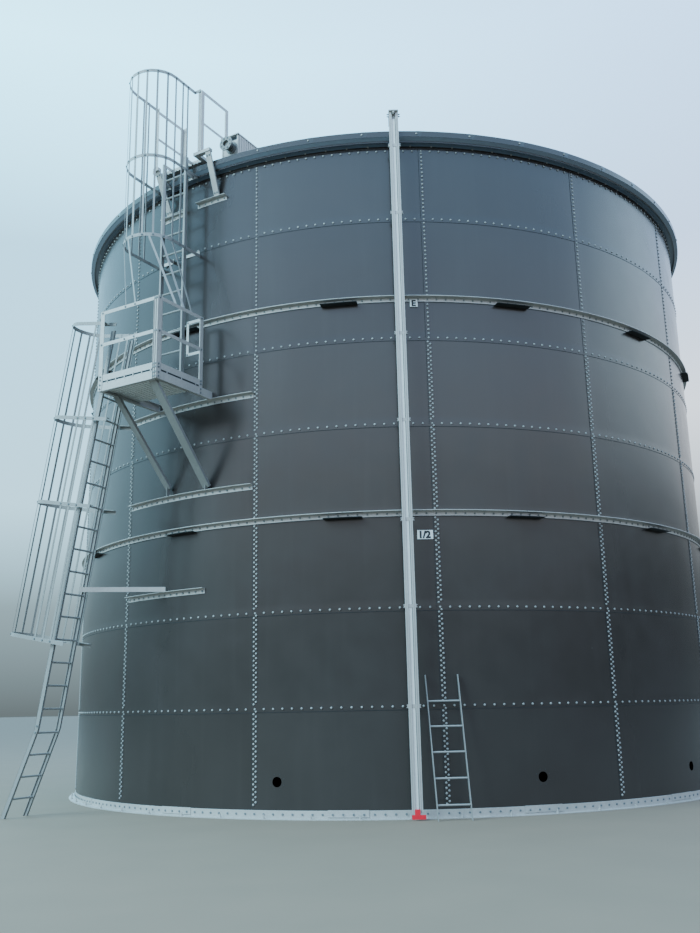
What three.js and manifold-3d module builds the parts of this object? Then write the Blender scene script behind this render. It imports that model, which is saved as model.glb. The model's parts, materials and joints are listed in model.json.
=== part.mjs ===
// Bolted panel storage tank with its access ladders, platforms and float level gauge.
// Millimetres, +Z up. The origin is on the ground at the tank's axis.
// An azimuth of 0 points along -Y, towards the gauge, and grows towards +X.
import * as THREE from "three";
import { mergeVertices } from "three/addons/utils/BufferGeometryUtils.js";
import Module from "manifold-3d";

const wasm = await Module();
wasm.setup();

// Driving dimensions of the shell
const PANELS_ROUND = 14;
const PANEL_WIDTH = 2400;
const PANEL_HEIGHT = 1200;
const HALF_COURSE = 555;
const RADIUS = (PANELS_ROUND * PANEL_WIDTH) / (2 * Math.PI);
const WALL = 6;
const BASE_SEAM = 100;
const FIRST_COLUMN = -44.88;
const FACETS_PER_PANEL = 8;
const FACETS = PANELS_ROUND * FACETS_PER_PANEL;
const PANEL_ANGLE = 360 / PANELS_ROUND;
const SEAT = 0.3;

// Seams above the ground, the half course lies between the fifth and sixth
const LOWER_STIFFENER_SEAM = BASE_SEAM + 3 * PANEL_HEIGHT;
const UPPER_STIFFENER_SEAM = BASE_SEAM + 5 * PANEL_HEIGHT + HALF_COURSE;
const SEVENTH_SEAM = UPPER_STIFFENER_SEAM + PANEL_HEIGHT;

// Rim and roof
const RIM_RADIUS = 5500;
const RIM_TOP = 9140;
const RIM_DEPTH = 90;
const ROOF_SHEET = 5;
const ROOF_SLOPE = Math.tan(THREE.MathUtils.degToRad(10));
const ROOF_HOLE = 300;
const EAVE_BOTTOM = 8945;
const EAVE_TOP = 9050;
const EAVE_LIP_RADIUS = 5440;
const EAVE_LIP_BOTTOM = 8995;
const WALL_TOP = RIM_TOP - ROOF_SHEET + (RIM_RADIUS - ROOF_SHEET - RADIUS) * ROOF_SLOPE - SEAT;

// Rolled angles and the nozzle holes
const BASE_LEG = 100;
const RING_LEG = 70;
const RING_OUTREACH = 72;
const RING_STEEL = 8;
const NOZZLE_RADIUS = 62.5;
const NOZZLE_HEIGHT = 430;
const NOZZLE_AZIMUTHS = [-15.94, 19.59, 49.02];
const NOZZLE_SIDES = 16;

// Level gauge
const GAUGE_AZIMUTH = 2.42;
const BOARD_WIDTH = 130;
const BOARD_DEPTH = 40;
const BOARD_STEEL = 5;
const BOARD_LIP = 39;
const BOARD_BACK = RIM_RADIUS + 12;
const BOARD_BOTTOM = 70;
const BOARD_TOP = 9413;
const TARGET_GAP = 6;
const TARGET_STEEL = 8;
const TARGET_BOTTOM = 14;

// Access side: local +X runs right along the shell, local +Y runs inwards to the tank's axis
const ACCESS_AZIMUTH = -28.5;
const ANGLE_STEEL = 6;
const ANGLE_LEG = 72;
const ARM_ANGLE_TOP = 2885;

// Middle platform
const DECK_LEFT = -874;
const DECK_RIGHT = 162;
const DECK_FRONT = -6491;
const BEAM_BOTTOM = 5500;
const BEAM_HEIGHT = 114;
const BEAM_FLANGE = 50;
const DECK_REAR = -5700;
const POST_LEG = 65;
const BRACE_ANGLE_TOP = 4215;
const RAIL_TOP = 6650;
const RAIL_HEIGHT = 50;
const MID_RAIL = 6135;
const INNER_POST_Y = -5580;
const TOE_TOP = 5724;

// Upper ladder and its cage
const RUNG_PITCH = 300;
const UPPER_RUNG_PITCH = 308.5;
const RUNG_RADIUS = 12;
const STILE_DEPTH = 65;
const STILE_STEEL = 10;
const STILE_FLANGE = 28;
const UPPER_LADDER_Y = -5585;
const UPPER_LADDER_LEFT = -642;
const UPPER_LADDER_RIGHT = -192;
const UPPER_LADDER_FOOT = 5800;
const UPPER_LADDER_TOP = 9300;
const STRAP_WIDTH = 28;
const STRAP_STEEL = 6;
const HOOP_HEIGHT = 50;

// Top landing over the rim
const LANDING_REAR = -4870;
const LANDING_FRONT = -5440;
const LANDING_BEAM_FRONT = -5530;
const LANDING_TOP = 9300;
const LANDING_LEFT = -892;
const LANDING_RIGHT = 20;
const GUARD_TOP = 10390;

// Inclined lower ladder
const LOWER_AZIMUTH_TURN = 4.85;
const LOWER_LADDER_X = -959;
const LOWER_LADDER_Y = -6168;
const LOWER_HALF_WIDTH = 209;
const LOWER_LEAN = Math.tan(THREE.MathUtils.degToRad(10.57));
const FOOT_LEAN = Math.tan(THREE.MathUtils.degToRad(23.92));
const KINK_HEIGHT = 1107;
const LOWER_TOP = 6400;
const LOWER_RUNG_START = 5489;

const GALVANISED = new THREE.MeshStandardMaterial({ color: 0xaebabd, roughness: 0.45, metalness: 0.75 });
const SHELL_GREY = new THREE.MeshStandardMaterial({ color: 0x43505b, roughness: 0.35, metalness: 0.2 });
const TARGET_RED = new THREE.MeshStandardMaterial({ color: 0xb32638, roughness: 0.5, metalness: 0.0 });
const LADDER_STEEL = new THREE.MeshStandardMaterial({ color: 0xc4ced0, roughness: 0.4, metalness: 0.8 });

const radians = THREE.MathUtils.degToRad;

/** A geometry's signed volume, negative when its faces point inwards. */
function signedVolume(geometry) {
  const p = geometry.getAttribute("position");
  const index = geometry.getIndex();
  const a = new THREE.Vector3();
  const b = new THREE.Vector3();
  const c = new THREE.Vector3();
  let six = 0;
  for (let i = 0; i < index.count; i += 3) {
    a.fromBufferAttribute(p, index.getX(i));
    b.fromBufferAttribute(p, index.getX(i + 1));
    c.fromBufferAttribute(p, index.getX(i + 2));
    six += a.dot(b.cross(c));
  }
  return six / 6;
}

/** A closed geometry as a solid for joins and cuts. */
function toSolid(geometry) {
  const bare = geometry.clone();
  bare.deleteAttribute("normal");
  bare.deleteAttribute("uv");
  const merged = mergeVertices(bare, 1e-3);
  const triVerts = Uint32Array.from(merged.getIndex().array);
  if (signedVolume(merged) < 0) {
    for (let i = 0; i < triVerts.length; i += 3) {
      [triVerts[i + 1], triVerts[i + 2]] = [triVerts[i + 2], triVerts[i + 1]];
    }
  }
  const vertProperties = Float32Array.from(merged.getAttribute("position").array);
  return new wasm.Manifold(new wasm.Mesh({ numProp: 3, vertProperties, triVerts }));
}

/** A solid back as a geometry with flat normals. */
function toGeometry(solid) {
  const mesh = solid.getMesh();
  const geometry = new THREE.BufferGeometry();
  geometry.setAttribute("position", new THREE.BufferAttribute(Float32Array.from(mesh.vertProperties), 3));
  geometry.setIndex(new THREE.BufferAttribute(Uint32Array.from(mesh.triVerts), 1));
  geometry.computeVertexNormals();
  return geometry;
}

/** Overlapping pieces of one fabrication joined into one body. */
function weld(pieces) {
  let joined = toSolid(pieces[0]);
  for (const piece of pieces.slice(1)) {
    joined = joined.add(toSolid(piece));
  }
  return toGeometry(joined);
}

/** A piece with other shapes cut away. */
function cut(piece, tools) {
  let left = toSolid(piece);
  for (const tool of tools) {
    left = left.subtract(toSolid(tool));
  }
  return toGeometry(left);
}

/** What two shapes share. */
function common(piece, limit) {
  return toGeometry(toSolid(piece).intersect(toSolid(limit)));
}

/** A block between two limits on each axis. */
function block(x0, x1, y0, y1, z0, z1) {
  const geometry = new THREE.BoxGeometry(x1 - x0, y1 - y0, z1 - z0);
  return geometry.translate((x0 + x1) / 2, (y0 + y1) / 2, (z0 + z1) / 2);
}

/** A straight prism of a closed outline, from one point to another, with the outline's x along `side`. */
function prism(outline, from, to, side) {
  const along = to.clone().sub(from);
  const depth = along.length();
  const w = along.normalize();
  const u = side.clone().addScaledVector(w, -side.dot(w)).normalize();
  const v = new THREE.Vector3().crossVectors(w, u);
  const shape = new THREE.Shape(outline.map(([x, y]) => new THREE.Vector2(x, y)));
  const geometry = new THREE.ExtrudeGeometry(shape, { depth, bevelEnabled: false });
  geometry.applyMatrix4(new THREE.Matrix4().makeBasis(u, v, w).setPosition(from));
  return mergeVertices(geometry);
}

/** The outline of a flat bar, angle or channel. */
const flatOutline = (width, thick) => [
  [-width / 2, -thick / 2], [width / 2, -thick / 2], [width / 2, thick / 2], [-width / 2, thick / 2],
];
const channelOutline = (width, depth, thick) => [
  [-width / 2, 0], [width / 2, 0], [width / 2, depth], [width / 2 - thick, depth],
  [width / 2 - thick, thick], [-width / 2 + thick, thick], [-width / 2 + thick, depth], [-width / 2, depth],
];

/** A round bar between two points. */
function roundBar(from, to, radius, sides = 8) {
  const along = to.clone().sub(from);
  const geometry = new THREE.CylinderGeometry(radius, radius, along.length(), sides);
  const turn = new THREE.Quaternion().setFromUnitVectors(new THREE.Vector3(0, 1, 0), along.clone().normalize());
  geometry.applyQuaternion(turn);
  const middle = from.clone().add(to).multiplyScalar(0.5);
  return geometry.translate(middle.x, middle.y, middle.z);
}

/** A full ring turned about the tank's axis, its facets in line with the shell's. */
function turned(profile, facets = FACETS) {
  const points = profile.map(([r, z]) => new THREE.Vector2(r, z));
  points.push(points[0].clone());
  const geometry = new THREE.LatheGeometry(points, facets, radians(FIRST_COLUMN), 2 * Math.PI);
  geometry.rotateX(Math.PI / 2);
  return geometry;
}

/** A point on the ground plan at a radius and azimuth. */
const planPoint = (r, azimuth) => [r * Math.sin(radians(azimuth)), -r * Math.cos(radians(azimuth))];

/** A wedge of the plan between two azimuths, taller than the tank. */
function wedge(start, end) {
  const reach = 9000;
  const middle = (start + end) / 2;
  const outline = [[0, 0], planPoint(reach, start), planPoint(reach, middle), planPoint(reach, end)];
  const shape = new THREE.Shape(outline.map(([x, y]) => new THREE.Vector2(x, y)));
  const geometry = new THREE.ExtrudeGeometry(shape, { depth: 12000, bevelEnabled: false });
  return mergeVertices(geometry.translate(0, 0, -500));
}

/** A part of a turned ring between two azimuths. */
const ringPart = (profile, start, end) => common(turned(profile), wedge(start, end));

/** The profile of a rolled angle: one leg on the shell, the other outwards at its top. */
function stiffenerProfile(top, leg, outreach, steel) {
  const inner = RADIUS + SEAT;
  return [
    [inner, top - leg], [inner + steel, top - leg], [inner + steel, top - steel],
    [inner + outreach, top - steel], [inner + outreach, top], [inner, top],
  ];
}

/** The roof sheet's upper face at a radius. */
const roofHeight = (r) => RIM_TOP + (RIM_RADIUS - r) * ROOF_SLOPE;

const tank = new THREE.Group();

/** Adds one named body to a group. */
function addPart(group, name, geometry, material) {
  const mesh = new THREE.Mesh(geometry, material);
  mesh.name = name;
  group.add(mesh);
  return mesh;
}

// Shell: one strip of panels per bolt column, with the nozzle holes cut through
function buildShell() {
  const profile = [[RADIUS - WALL, 0], [RADIUS, 0], [RADIUS, WALL_TOP], [RADIUS - WALL, WALL_TOP]];
  const jointGap = THREE.MathUtils.radToDeg(SEAT / 2 / RADIUS);
  for (let i = 0; i < PANELS_ROUND; i += 1) {
    const start = FIRST_COLUMN + i * PANEL_ANGLE;
    const end = start + PANEL_ANGLE;
    let strip = ringPart(profile, start + jointGap, end - jointGap);
    for (const azimuth of NOZZLE_AZIMUTHS) {
      if (azimuth > start && azimuth < end) {
        const [x, y] = planPoint(1, azimuth);
        const inside = new THREE.Vector3(x, y, 0).multiplyScalar(RADIUS - 200).setZ(NOZZLE_HEIGHT);
        const outside = new THREE.Vector3(x, y, 0).multiplyScalar(RADIUS + 200).setZ(NOZZLE_HEIGHT);
        strip = cut(strip, [roundBar(inside, outside, NOZZLE_RADIUS, NOZZLE_SIDES)]);
      }
    }
    addPart(tank, `shell_strip_${String(i + 1).padStart(2, "0")}`, strip, SHELL_GREY);
  }
  const floorRadius = RADIUS - WALL - SEAT;
  const floor = [[0, 0], [floorRadius, 0], [floorRadius, WALL], [0, WALL]];
  addPart(tank, "floor_plate", toGeometry(toSolid(turned(floor))), SHELL_GREY);
}

// Rolled rings and the roof
function buildRings() {
  const inner = RADIUS + SEAT;
  const base = [
    [inner, 0], [inner + BASE_LEG, 0], [inner + BASE_LEG, RING_STEEL],
    [inner + RING_STEEL, RING_STEEL], [inner + RING_STEEL, BASE_LEG], [inner, BASE_LEG],
  ];
  addPart(tank, "base_angle", toGeometry(toSolid(turned(base))), GALVANISED);
  const rings = { lower_stiffener: LOWER_STIFFENER_SEAM, upper_stiffener: UPPER_STIFFENER_SEAM };
  for (const [name, seam] of Object.entries(rings)) {
    const profile = stiffenerProfile(seam + RING_LEG / 2, RING_LEG, RING_OUTREACH, RING_STEEL);
    addPart(tank, name, toGeometry(toSolid(turned(profile))), GALVANISED);
  }
  const eave = [
    [inner, EAVE_BOTTOM], [inner + RING_STEEL, EAVE_BOTTOM], [inner + RING_STEEL, EAVE_TOP - RING_STEEL],
    [EAVE_LIP_RADIUS - RING_STEEL, EAVE_TOP - RING_STEEL], [EAVE_LIP_RADIUS - RING_STEEL, EAVE_LIP_BOTTOM],
    [EAVE_LIP_RADIUS, EAVE_LIP_BOTTOM], [EAVE_LIP_RADIUS, EAVE_TOP], [inner, EAVE_TOP],
  ];
  addPart(tank, "eave_angle", toGeometry(toSolid(turned(eave))), SHELL_GREY);
  const under = RIM_RADIUS - ROOF_SHEET;
  const roof = [
    [ROOF_HOLE, roofHeight(ROOF_HOLE) - ROOF_SHEET], [under, RIM_TOP - ROOF_SHEET],
    [under, RIM_TOP - RIM_DEPTH], [RIM_RADIUS, RIM_TOP - RIM_DEPTH], [RIM_RADIUS, RIM_TOP],
    [ROOF_HOLE, roofHeight(ROOF_HOLE)],
  ];
  addPart(tank, "roof_sheets", toGeometry(toSolid(turned(roof))), SHELL_GREY);
  const seat = roofHeight(ROOF_HOLE) + SEAT;
  const cap = [[0, seat], [420, seat], [420, seat + 8], [240, seat + 45], [0, seat + 70]];
  addPart(tank, "roof_centre_cap", toGeometry(toSolid(turned(cap, PANELS_ROUND * 2))), SHELL_GREY);
}

// Level gauge: a lipped channel board on brackets, its pulley head, cable pipe and sliding target
function buildGauge() {
  const gauge = new THREE.Group();
  gauge.rotation.z = radians(GAUGE_AZIMUTH);
  tank.add(gauge);
  const half = BOARD_WIDTH / 2;
  const back = -BOARD_BACK;
  const front = back - BOARD_DEPTH;
  const board = [
    [-half, back], [-half, front], [-half + BOARD_LIP, front], [-half + BOARD_LIP, front + BOARD_STEEL],
    [-half + BOARD_STEEL, front + BOARD_STEEL], [-half + BOARD_STEEL, back - BOARD_STEEL],
    [half - BOARD_STEEL, back - BOARD_STEEL], [half - BOARD_STEEL, front + BOARD_STEEL],
    [half - BOARD_LIP, front + BOARD_STEEL], [half - BOARD_LIP, front], [half, front], [half, back],
  ];
  const from = new THREE.Vector3(0, 0, BOARD_BOTTOM);
  const to = new THREE.Vector3(0, 0, BOARD_TOP);
  const pieces = [prism(board, from, to, new THREE.Vector3(1, 0, 0))];
  const seams = [1, 2, 3, 4, 5].map((k) => BASE_SEAM + k * PANEL_HEIGHT);
  seams[2] -= 110;
  for (const z of [...seams, SEVENTH_SEAM, 8890]) {
    pieces.push(block(-half - 14, half + 14, back - 30, back + 4, z - 22, z + 22));
    pieces.push(block(-30, 30, back - 2, -RADIUS - SEAT, z - 4, z + 4));
    pieces.push(block(-45, 45, -RADIUS - 6, -RADIUS - SEAT, z - 40, z + 40));
  }
  addPart(gauge, "gauge_board", weld(pieces), GALVANISED);

  const headTop = BOARD_TOP + 12;
  const wheel = roundBar(
    new THREE.Vector3(-8, front - 14, BOARD_TOP - 26), new THREE.Vector3(8, front - 14, BOARD_TOP - 26), 24, 12);
  const cheek = block(-14, 14, front - 20, front - SEAT, BOARD_TOP - 30, headTop - 2);
  const lid = block(-half - 3, half + 3, front - 30, back + 8, BOARD_TOP + SEAT, headTop);
  addPart(gauge, "gauge_head", weld([lid, cheek, wheel]), GALVANISED);

  const pipeY = back + SEAT;
  const pipeZ = BOARD_TOP - 60;
  const bendY = -4950;
  const pipe = [
    roundBar(new THREE.Vector3(0, pipeY, pipeZ), new THREE.Vector3(0, bendY, pipeZ), 24, 12),
    roundBar(new THREE.Vector3(0, bendY, pipeZ + 24), new THREE.Vector3(0, bendY, roofHeight(-bendY) + 14), 30, 12),
    roundBar(new THREE.Vector3(0, bendY, roofHeight(-bendY) + 26),
      new THREE.Vector3(0, bendY, roofHeight(-bendY - 60) + SEAT), 60, 16),
  ];
  addPart(gauge, "gauge_cable_pipe", weld(pipe), GALVANISED);

  const plateFront = front - TARGET_GAP - TARGET_STEEL;
  const plateBack = front - TARGET_GAP;
  const target = [
    block(-68, 98, plateFront, plateBack, TARGET_BOTTOM, TARGET_BOTTOM + 50),
    block(-32, 32, plateFront, plateBack, TARGET_BOTTOM + 40, TARGET_BOTTOM + 112),
    block(-15, 15, plateBack - 1, front + BOARD_STEEL + 6, TARGET_BOTTOM + 66, TARGET_BOTTOM + 106),
    block(-45, 45, front + BOARD_STEEL + SEAT, front + BOARD_STEEL + 6, TARGET_BOTTOM + 70, TARGET_BOTTOM + 102),
  ];
  addPart(gauge, "gauge_target", weld(target), TARGET_RED);
}

const access = new THREE.Group();
access.rotation.z = radians(ACCESS_AZIMUTH);
tank.add(access);

// Short rolled angles bolted to the shell that carry the platforms and the ladder arm
function buildShellAngles() {
  const angles = {
    platform_shell_angle: [-44.3, -19.6, BEAM_BOTTOM - SEAT],
    brace_shell_angle: [-44.5, -19.7, BRACE_ANGLE_TOP],
    arm_shell_angle: [-44.5, -27.6, ARM_ANGLE_TOP],
    landing_angle_right: [-30.3, -24.6, 8612],
    landing_angle_left: [-38.2, -32.6, 8585],
  };
  for (const [name, [start, end, top]] of Object.entries(angles)) {
    addPart(tank, name, ringPart(stiffenerProfile(top, ANGLE_LEG, ANGLE_LEG, ANGLE_STEEL), start, end), GALVANISED);
  }
}

/** The shell's distance in front of the axis at a place along the access side. */
const shellFront = (x) => -Math.sqrt(RADIUS * RADIUS - x * x);

/** The eave angle's distance in front of the axis at a place along the access side. */
const rimFront = (x) => -Math.sqrt(EAVE_LIP_RADIUS * EAVE_LIP_RADIUS - x * x);

/** A bar trimmed level at both ends. */
function levelled(bar, bottom, top) {
  return common(bar, block(-9000, 9000, -9000, 9000, bottom, top));
}

// Middle platform: beams, deck, toe board, guard rail and two braces
function buildPlatform() {
  const z0 = BEAM_BOTTOM;
  const z1 = BEAM_BOTTOM + BEAM_HEIGHT;
  const t = ANGLE_STEEL;
  const channel = (x0, x1, y0, y1) => [
    block(x0[0], x1[0], y0[0], y1[0], z0, z1),
    block(x0[1], x1[1], y0[1], y1[1], z0, z0 + t),
    block(x0[1], x1[1], y0[1], y1[1], z1 - t, z1),
  ];
  const leftEnd = shellFront(DECK_LEFT) - 8;
  const rightEnd = shellFront(DECK_RIGHT) - 8;
  const frame = [
    ...channel([DECK_LEFT, DECK_LEFT], [DECK_RIGHT, DECK_RIGHT], [DECK_FRONT, DECK_FRONT],
      [DECK_FRONT + t, DECK_FRONT + BEAM_FLANGE]),
    ...channel([DECK_LEFT, DECK_LEFT], [DECK_LEFT + t, DECK_LEFT + BEAM_FLANGE], [DECK_FRONT, DECK_FRONT],
      [leftEnd, leftEnd]),
    ...channel([DECK_RIGHT - t, DECK_RIGHT - BEAM_FLANGE], [DECK_RIGHT, DECK_RIGHT], [DECK_FRONT, DECK_FRONT],
      [rightEnd, rightEnd]),
  ];
  addPart(access, "platform_frame", weld(frame), GALVANISED);

  const deck = block(DECK_LEFT + t + SEAT, DECK_RIGHT - t - SEAT, DECK_FRONT + t + SEAT,
    DECK_REAR, z0 + 66, z0 + 102);
  addPart(access, "platform_deck", deck, GALVANISED);

  const toe = [
    block(DECK_LEFT, DECK_RIGHT, DECK_FRONT, DECK_FRONT + t, z1 + SEAT, TOE_TOP),
    block(DECK_RIGHT - t, DECK_RIGHT, DECK_FRONT, INNER_POST_Y, z1 + SEAT, TOE_TOP),
  ];
  addPart(access, "platform_toe_board", weld(toe), GALVANISED);

  const out = DECK_FRONT - SEAT;
  const side = DECK_RIGHT + SEAT;
  const post = (x0, x1, y0, y1) => block(x0, x1, y0, y1, z0, RAIL_TOP);
  const rails = [
    post(side - POST_LEG, side + t, out - t, out),
    post(side, side + t, out - t, out + POST_LEG),
    post(DECK_LEFT - t, DECK_LEFT + POST_LEG, out - t, out),
    post(DECK_LEFT - t, DECK_LEFT - SEAT, out - t, out + POST_LEG),
    post(side, side + t, INNER_POST_Y - POST_LEG, INNER_POST_Y),
    block(side - 60, side + t, INNER_POST_Y, INNER_POST_Y + t, z1 + SEAT, RAIL_TOP),
  ];
  for (const bottom of [RAIL_TOP - RAIL_HEIGHT, MID_RAIL]) {
    rails.push(block(DECK_LEFT - t, side + t, out - t, out, bottom, bottom + RAIL_HEIGHT));
    rails.push(block(side, side + t, out - t, INNER_POST_Y, bottom, bottom + RAIL_HEIGHT));
  }
  rails.push(block(DECK_LEFT - t, side + t, out - t, out + 40, RAIL_TOP - t, RAIL_TOP));
  rails.push(block(side - 40, side + t, out - t, INNER_POST_Y, RAIL_TOP - t, RAIL_TOP));
  const loopLeft = -132;
  const loopBottom = 6130;
  rails.push(block(loopLeft, side, INNER_POST_Y, INNER_POST_Y + t, RAIL_TOP - 40, RAIL_TOP));
  rails.push(block(loopLeft, side, INNER_POST_Y, INNER_POST_Y + t, loopBottom, loopBottom + 40));
  rails.push(block(loopLeft, loopLeft + 40, INNER_POST_Y, INNER_POST_Y + t, loopBottom, RAIL_TOP));
  addPart(access, "platform_guard_rail", weld(rails), GALVANISED);

  const braces = {
    platform_brace_right: [new THREE.Vector3(118, -5400, 4245), new THREE.Vector3(42, -6440, 5500), 115],
    platform_brace_left: [new THREE.Vector3(-575, -5385, 4310), new THREE.Vector3(-820, -6225, 5500), 85],
  };
  for (const [name, [foot, head, width]] of Object.entries(braces)) {
    const beyond = head.clone().sub(foot).normalize().multiplyScalar(90);
    const bar = prism(channelOutline(width, 45, ANGLE_STEEL), foot, head.clone().add(beyond),
      new THREE.Vector3(1, 0, 0));
    const body = levelled(bar, foot.z - 5, BEAM_BOTTOM - SEAT);
    const gusset = block(foot.x - 4, foot.x + 4, foot.y - 28, foot.y + 30, BRACE_ANGLE_TOP + SEAT, foot.z + 50);
    addPart(access, name, weld([body, gusset]), GALVANISED);
  }
}

/** Two channel stiles, their flanges turned inwards, with rungs between them, standing upright. */
function uprightLadder(left, right, y, bottom, top, firstRung, lastRung) {
  const front = y - STILE_DEPTH / 2;
  const back = y + STILE_DEPTH / 2;
  const pieces = [
    block(left, left + STILE_STEEL, front, back, bottom, top),
    block(left, left + STILE_FLANGE, front, front + ANGLE_STEEL, bottom, top),
    block(left, left + STILE_FLANGE, back - ANGLE_STEEL, back, bottom, top),
    block(right - STILE_STEEL, right, front, back, bottom, top),
    block(right - STILE_FLANGE, right, front, front + ANGLE_STEEL, bottom, top),
    block(right - STILE_FLANGE, right, back - ANGLE_STEEL, back, bottom, top),
  ];
  for (let z = firstRung; z <= lastRung; z += UPPER_RUNG_PITCH) {
    pieces.push(roundBar(new THREE.Vector3(left + 2, y, z), new THREE.Vector3(right - 2, y, z), RUNG_RADIUS));
  }
  return weld(pieces);
}

/** A flat hoop: two arms and a half circle, standing on edge, square to +Z at the height given. */
function hoop(leftEnd, rightEnd, centre, radius, z, height = HOOP_HEIGHT, steel = STRAP_STEEL) {
  const outer = [];
  const inner = [];
  const steps = 12;
  for (let i = 0; i <= steps; i += 1) {
    const a = Math.PI + (Math.PI * i) / steps;
    outer.push([centre.x + (radius + steel) * Math.cos(a), centre.y + (radius + steel) * Math.sin(a)]);
    inner.push([centre.x + radius * Math.cos(a), centre.y + radius * Math.sin(a)]);
  }
  const outline = [
    [leftEnd.x - steel, leftEnd.y], ...outer, [rightEnd.x + steel, rightEnd.y],
    [rightEnd.x, rightEnd.y], ...inner.reverse(), [leftEnd.x, leftEnd.y],
  ];
  const shape = new THREE.Shape(outline.map(([x, y]) => new THREE.Vector2(x, y)));
  const geometry = new THREE.ExtrudeGeometry(shape, { depth: height, bevelEnabled: false });
  return mergeVertices(geometry.translate(0, 0, z - height / 2));
}

/** A cage strap at an angle of the hoop's half circle, 0 at its middle. */
function strap(centre, radius, angle, bottom, top) {
  const geometry = block(-STRAP_WIDTH / 2, STRAP_WIDTH / 2, -radius - 1, -radius + STRAP_STEEL - 1, bottom, top);
  geometry.rotateZ(angle);
  return geometry.translate(centre.x, centre.y, 0);
}

// Upper ladder with its cage and brackets
function buildUpperLadder() {
  const ladder = uprightLadder(UPPER_LADDER_LEFT, UPPER_LADDER_RIGHT, UPPER_LADDER_Y, UPPER_LADDER_FOOT,
    UPPER_LADDER_TOP, 5938, 9240);
  addPart(access, "upper_ladder", ladder, LADDER_STEEL);

  const centre = new THREE.Vector2(-500, -5955);
  const radius = 388;
  const left = centre.x - radius;
  const right = centre.x + radius;
  const heights = [7760, 9000, 10385];
  const cage = [];
  const armEnds = [
    [shellFront(left) - 0.6, shellFront(right) - 0.6],
    [rimFront(left) - 0.6, rimFront(right) - 0.6],
    [LANDING_BEAM_FRONT - SEAT, LANDING_BEAM_FRONT - SEAT],
  ];
  heights.forEach((z, i) => {
    const [leftEnd, rightEnd] = armEnds[i];
    cage.push(hoop(new THREE.Vector2(left, leftEnd), new THREE.Vector2(right, rightEnd), centre, radius, z));
  });
  cage.push(block(right, LANDING_RIGHT - 20, LANDING_BEAM_FRONT - SEAT - ANGLE_STEEL, LANDING_BEAM_FRONT - SEAT,
    heights[2] - 25, heights[2] + 25));
  const bottom = heights[0] - HOOP_HEIGHT / 2;
  const top = heights[2] + HOOP_HEIGHT / 2;
  for (const degrees of [-90, -67.5, -45, -22.5, 0, 22.5, 45, 67.5, 90]) {
    cage.push(strap(centre, radius, radians(degrees), bottom, top));
  }
  for (const x of [left + 1 - STRAP_STEEL / 2, right - 1 - STRAP_STEEL / 2]) {
    for (const y of [-5800, -5690]) {
      cage.push(block(x, x + STRAP_STEEL, y - STRAP_WIDTH / 2, y + STRAP_WIDTH / 2, bottom, top));
    }
  }
  const flares = [[-42, -427, DECK_FRONT], [-15, -255, DECK_FRONT], [35, DECK_RIGHT, -6157],
    [60, DECK_RIGHT, -5992], [88, DECK_RIGHT, -5825]];
  for (const [degrees, x, y] of flares) {
    const a = radians(degrees);
    const r = radius - 2;
    const head = new THREE.Vector3(centre.x + r * Math.sin(a), centre.y - r * Math.cos(a), heights[0] + 20);
    const foot = new THREE.Vector3(x, y, RAIL_TOP);
    const below = foot.clone().sub(head).normalize().multiplyScalar(30).add(foot);
    const side = new THREE.Vector3(Math.cos(a), Math.sin(a), 0);
    const flare = prism(flatOutline(STRAP_WIDTH, STRAP_STEEL), below, head, side);
    cage.push(levelled(flare, RAIL_TOP + SEAT, heights[0] + 60));
  }
  addPart(access, "upper_cage", weld(cage), LADDER_STEEL);

  const low = SEVENTH_SEAM - 36;
  const high = (EAVE_LIP_BOTTOM + EAVE_TOP) / 2 - 3;
  const leftArm = UPPER_LADDER_LEFT - SEAT - 8;
  const rightArm = UPPER_LADDER_RIGHT + SEAT;
  const sides = {
    ladder_bracket_left: [leftArm, -860, -640, low, shellFront],
    ladder_bracket_right: [rightArm, -370, -115, low, shellFront],
    eave_bracket_left: [leftArm, -860, -640, high, rimFront],
    eave_bracket_right: [rightArm, -273, -118, high, rimFront],
  };
  for (const [name, [x0, plateLeft, plateRight, z, frontAt]] of Object.entries(sides)) {
    const x1 = x0 + 8;
    const nearest = Math.min(Math.abs(plateLeft), Math.abs(plateRight));
    const y = frontAt(nearest) - SEAT;
    const plate = block(plateLeft, plateRight, y - 6, y, z - 25, z + 25);
    const arm = block(x0, x1, UPPER_LADDER_Y - 20, y - 3, z - 25, z + 25);
    addPart(access, name, weld([plate, arm]), GALVANISED);
  }
}

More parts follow.
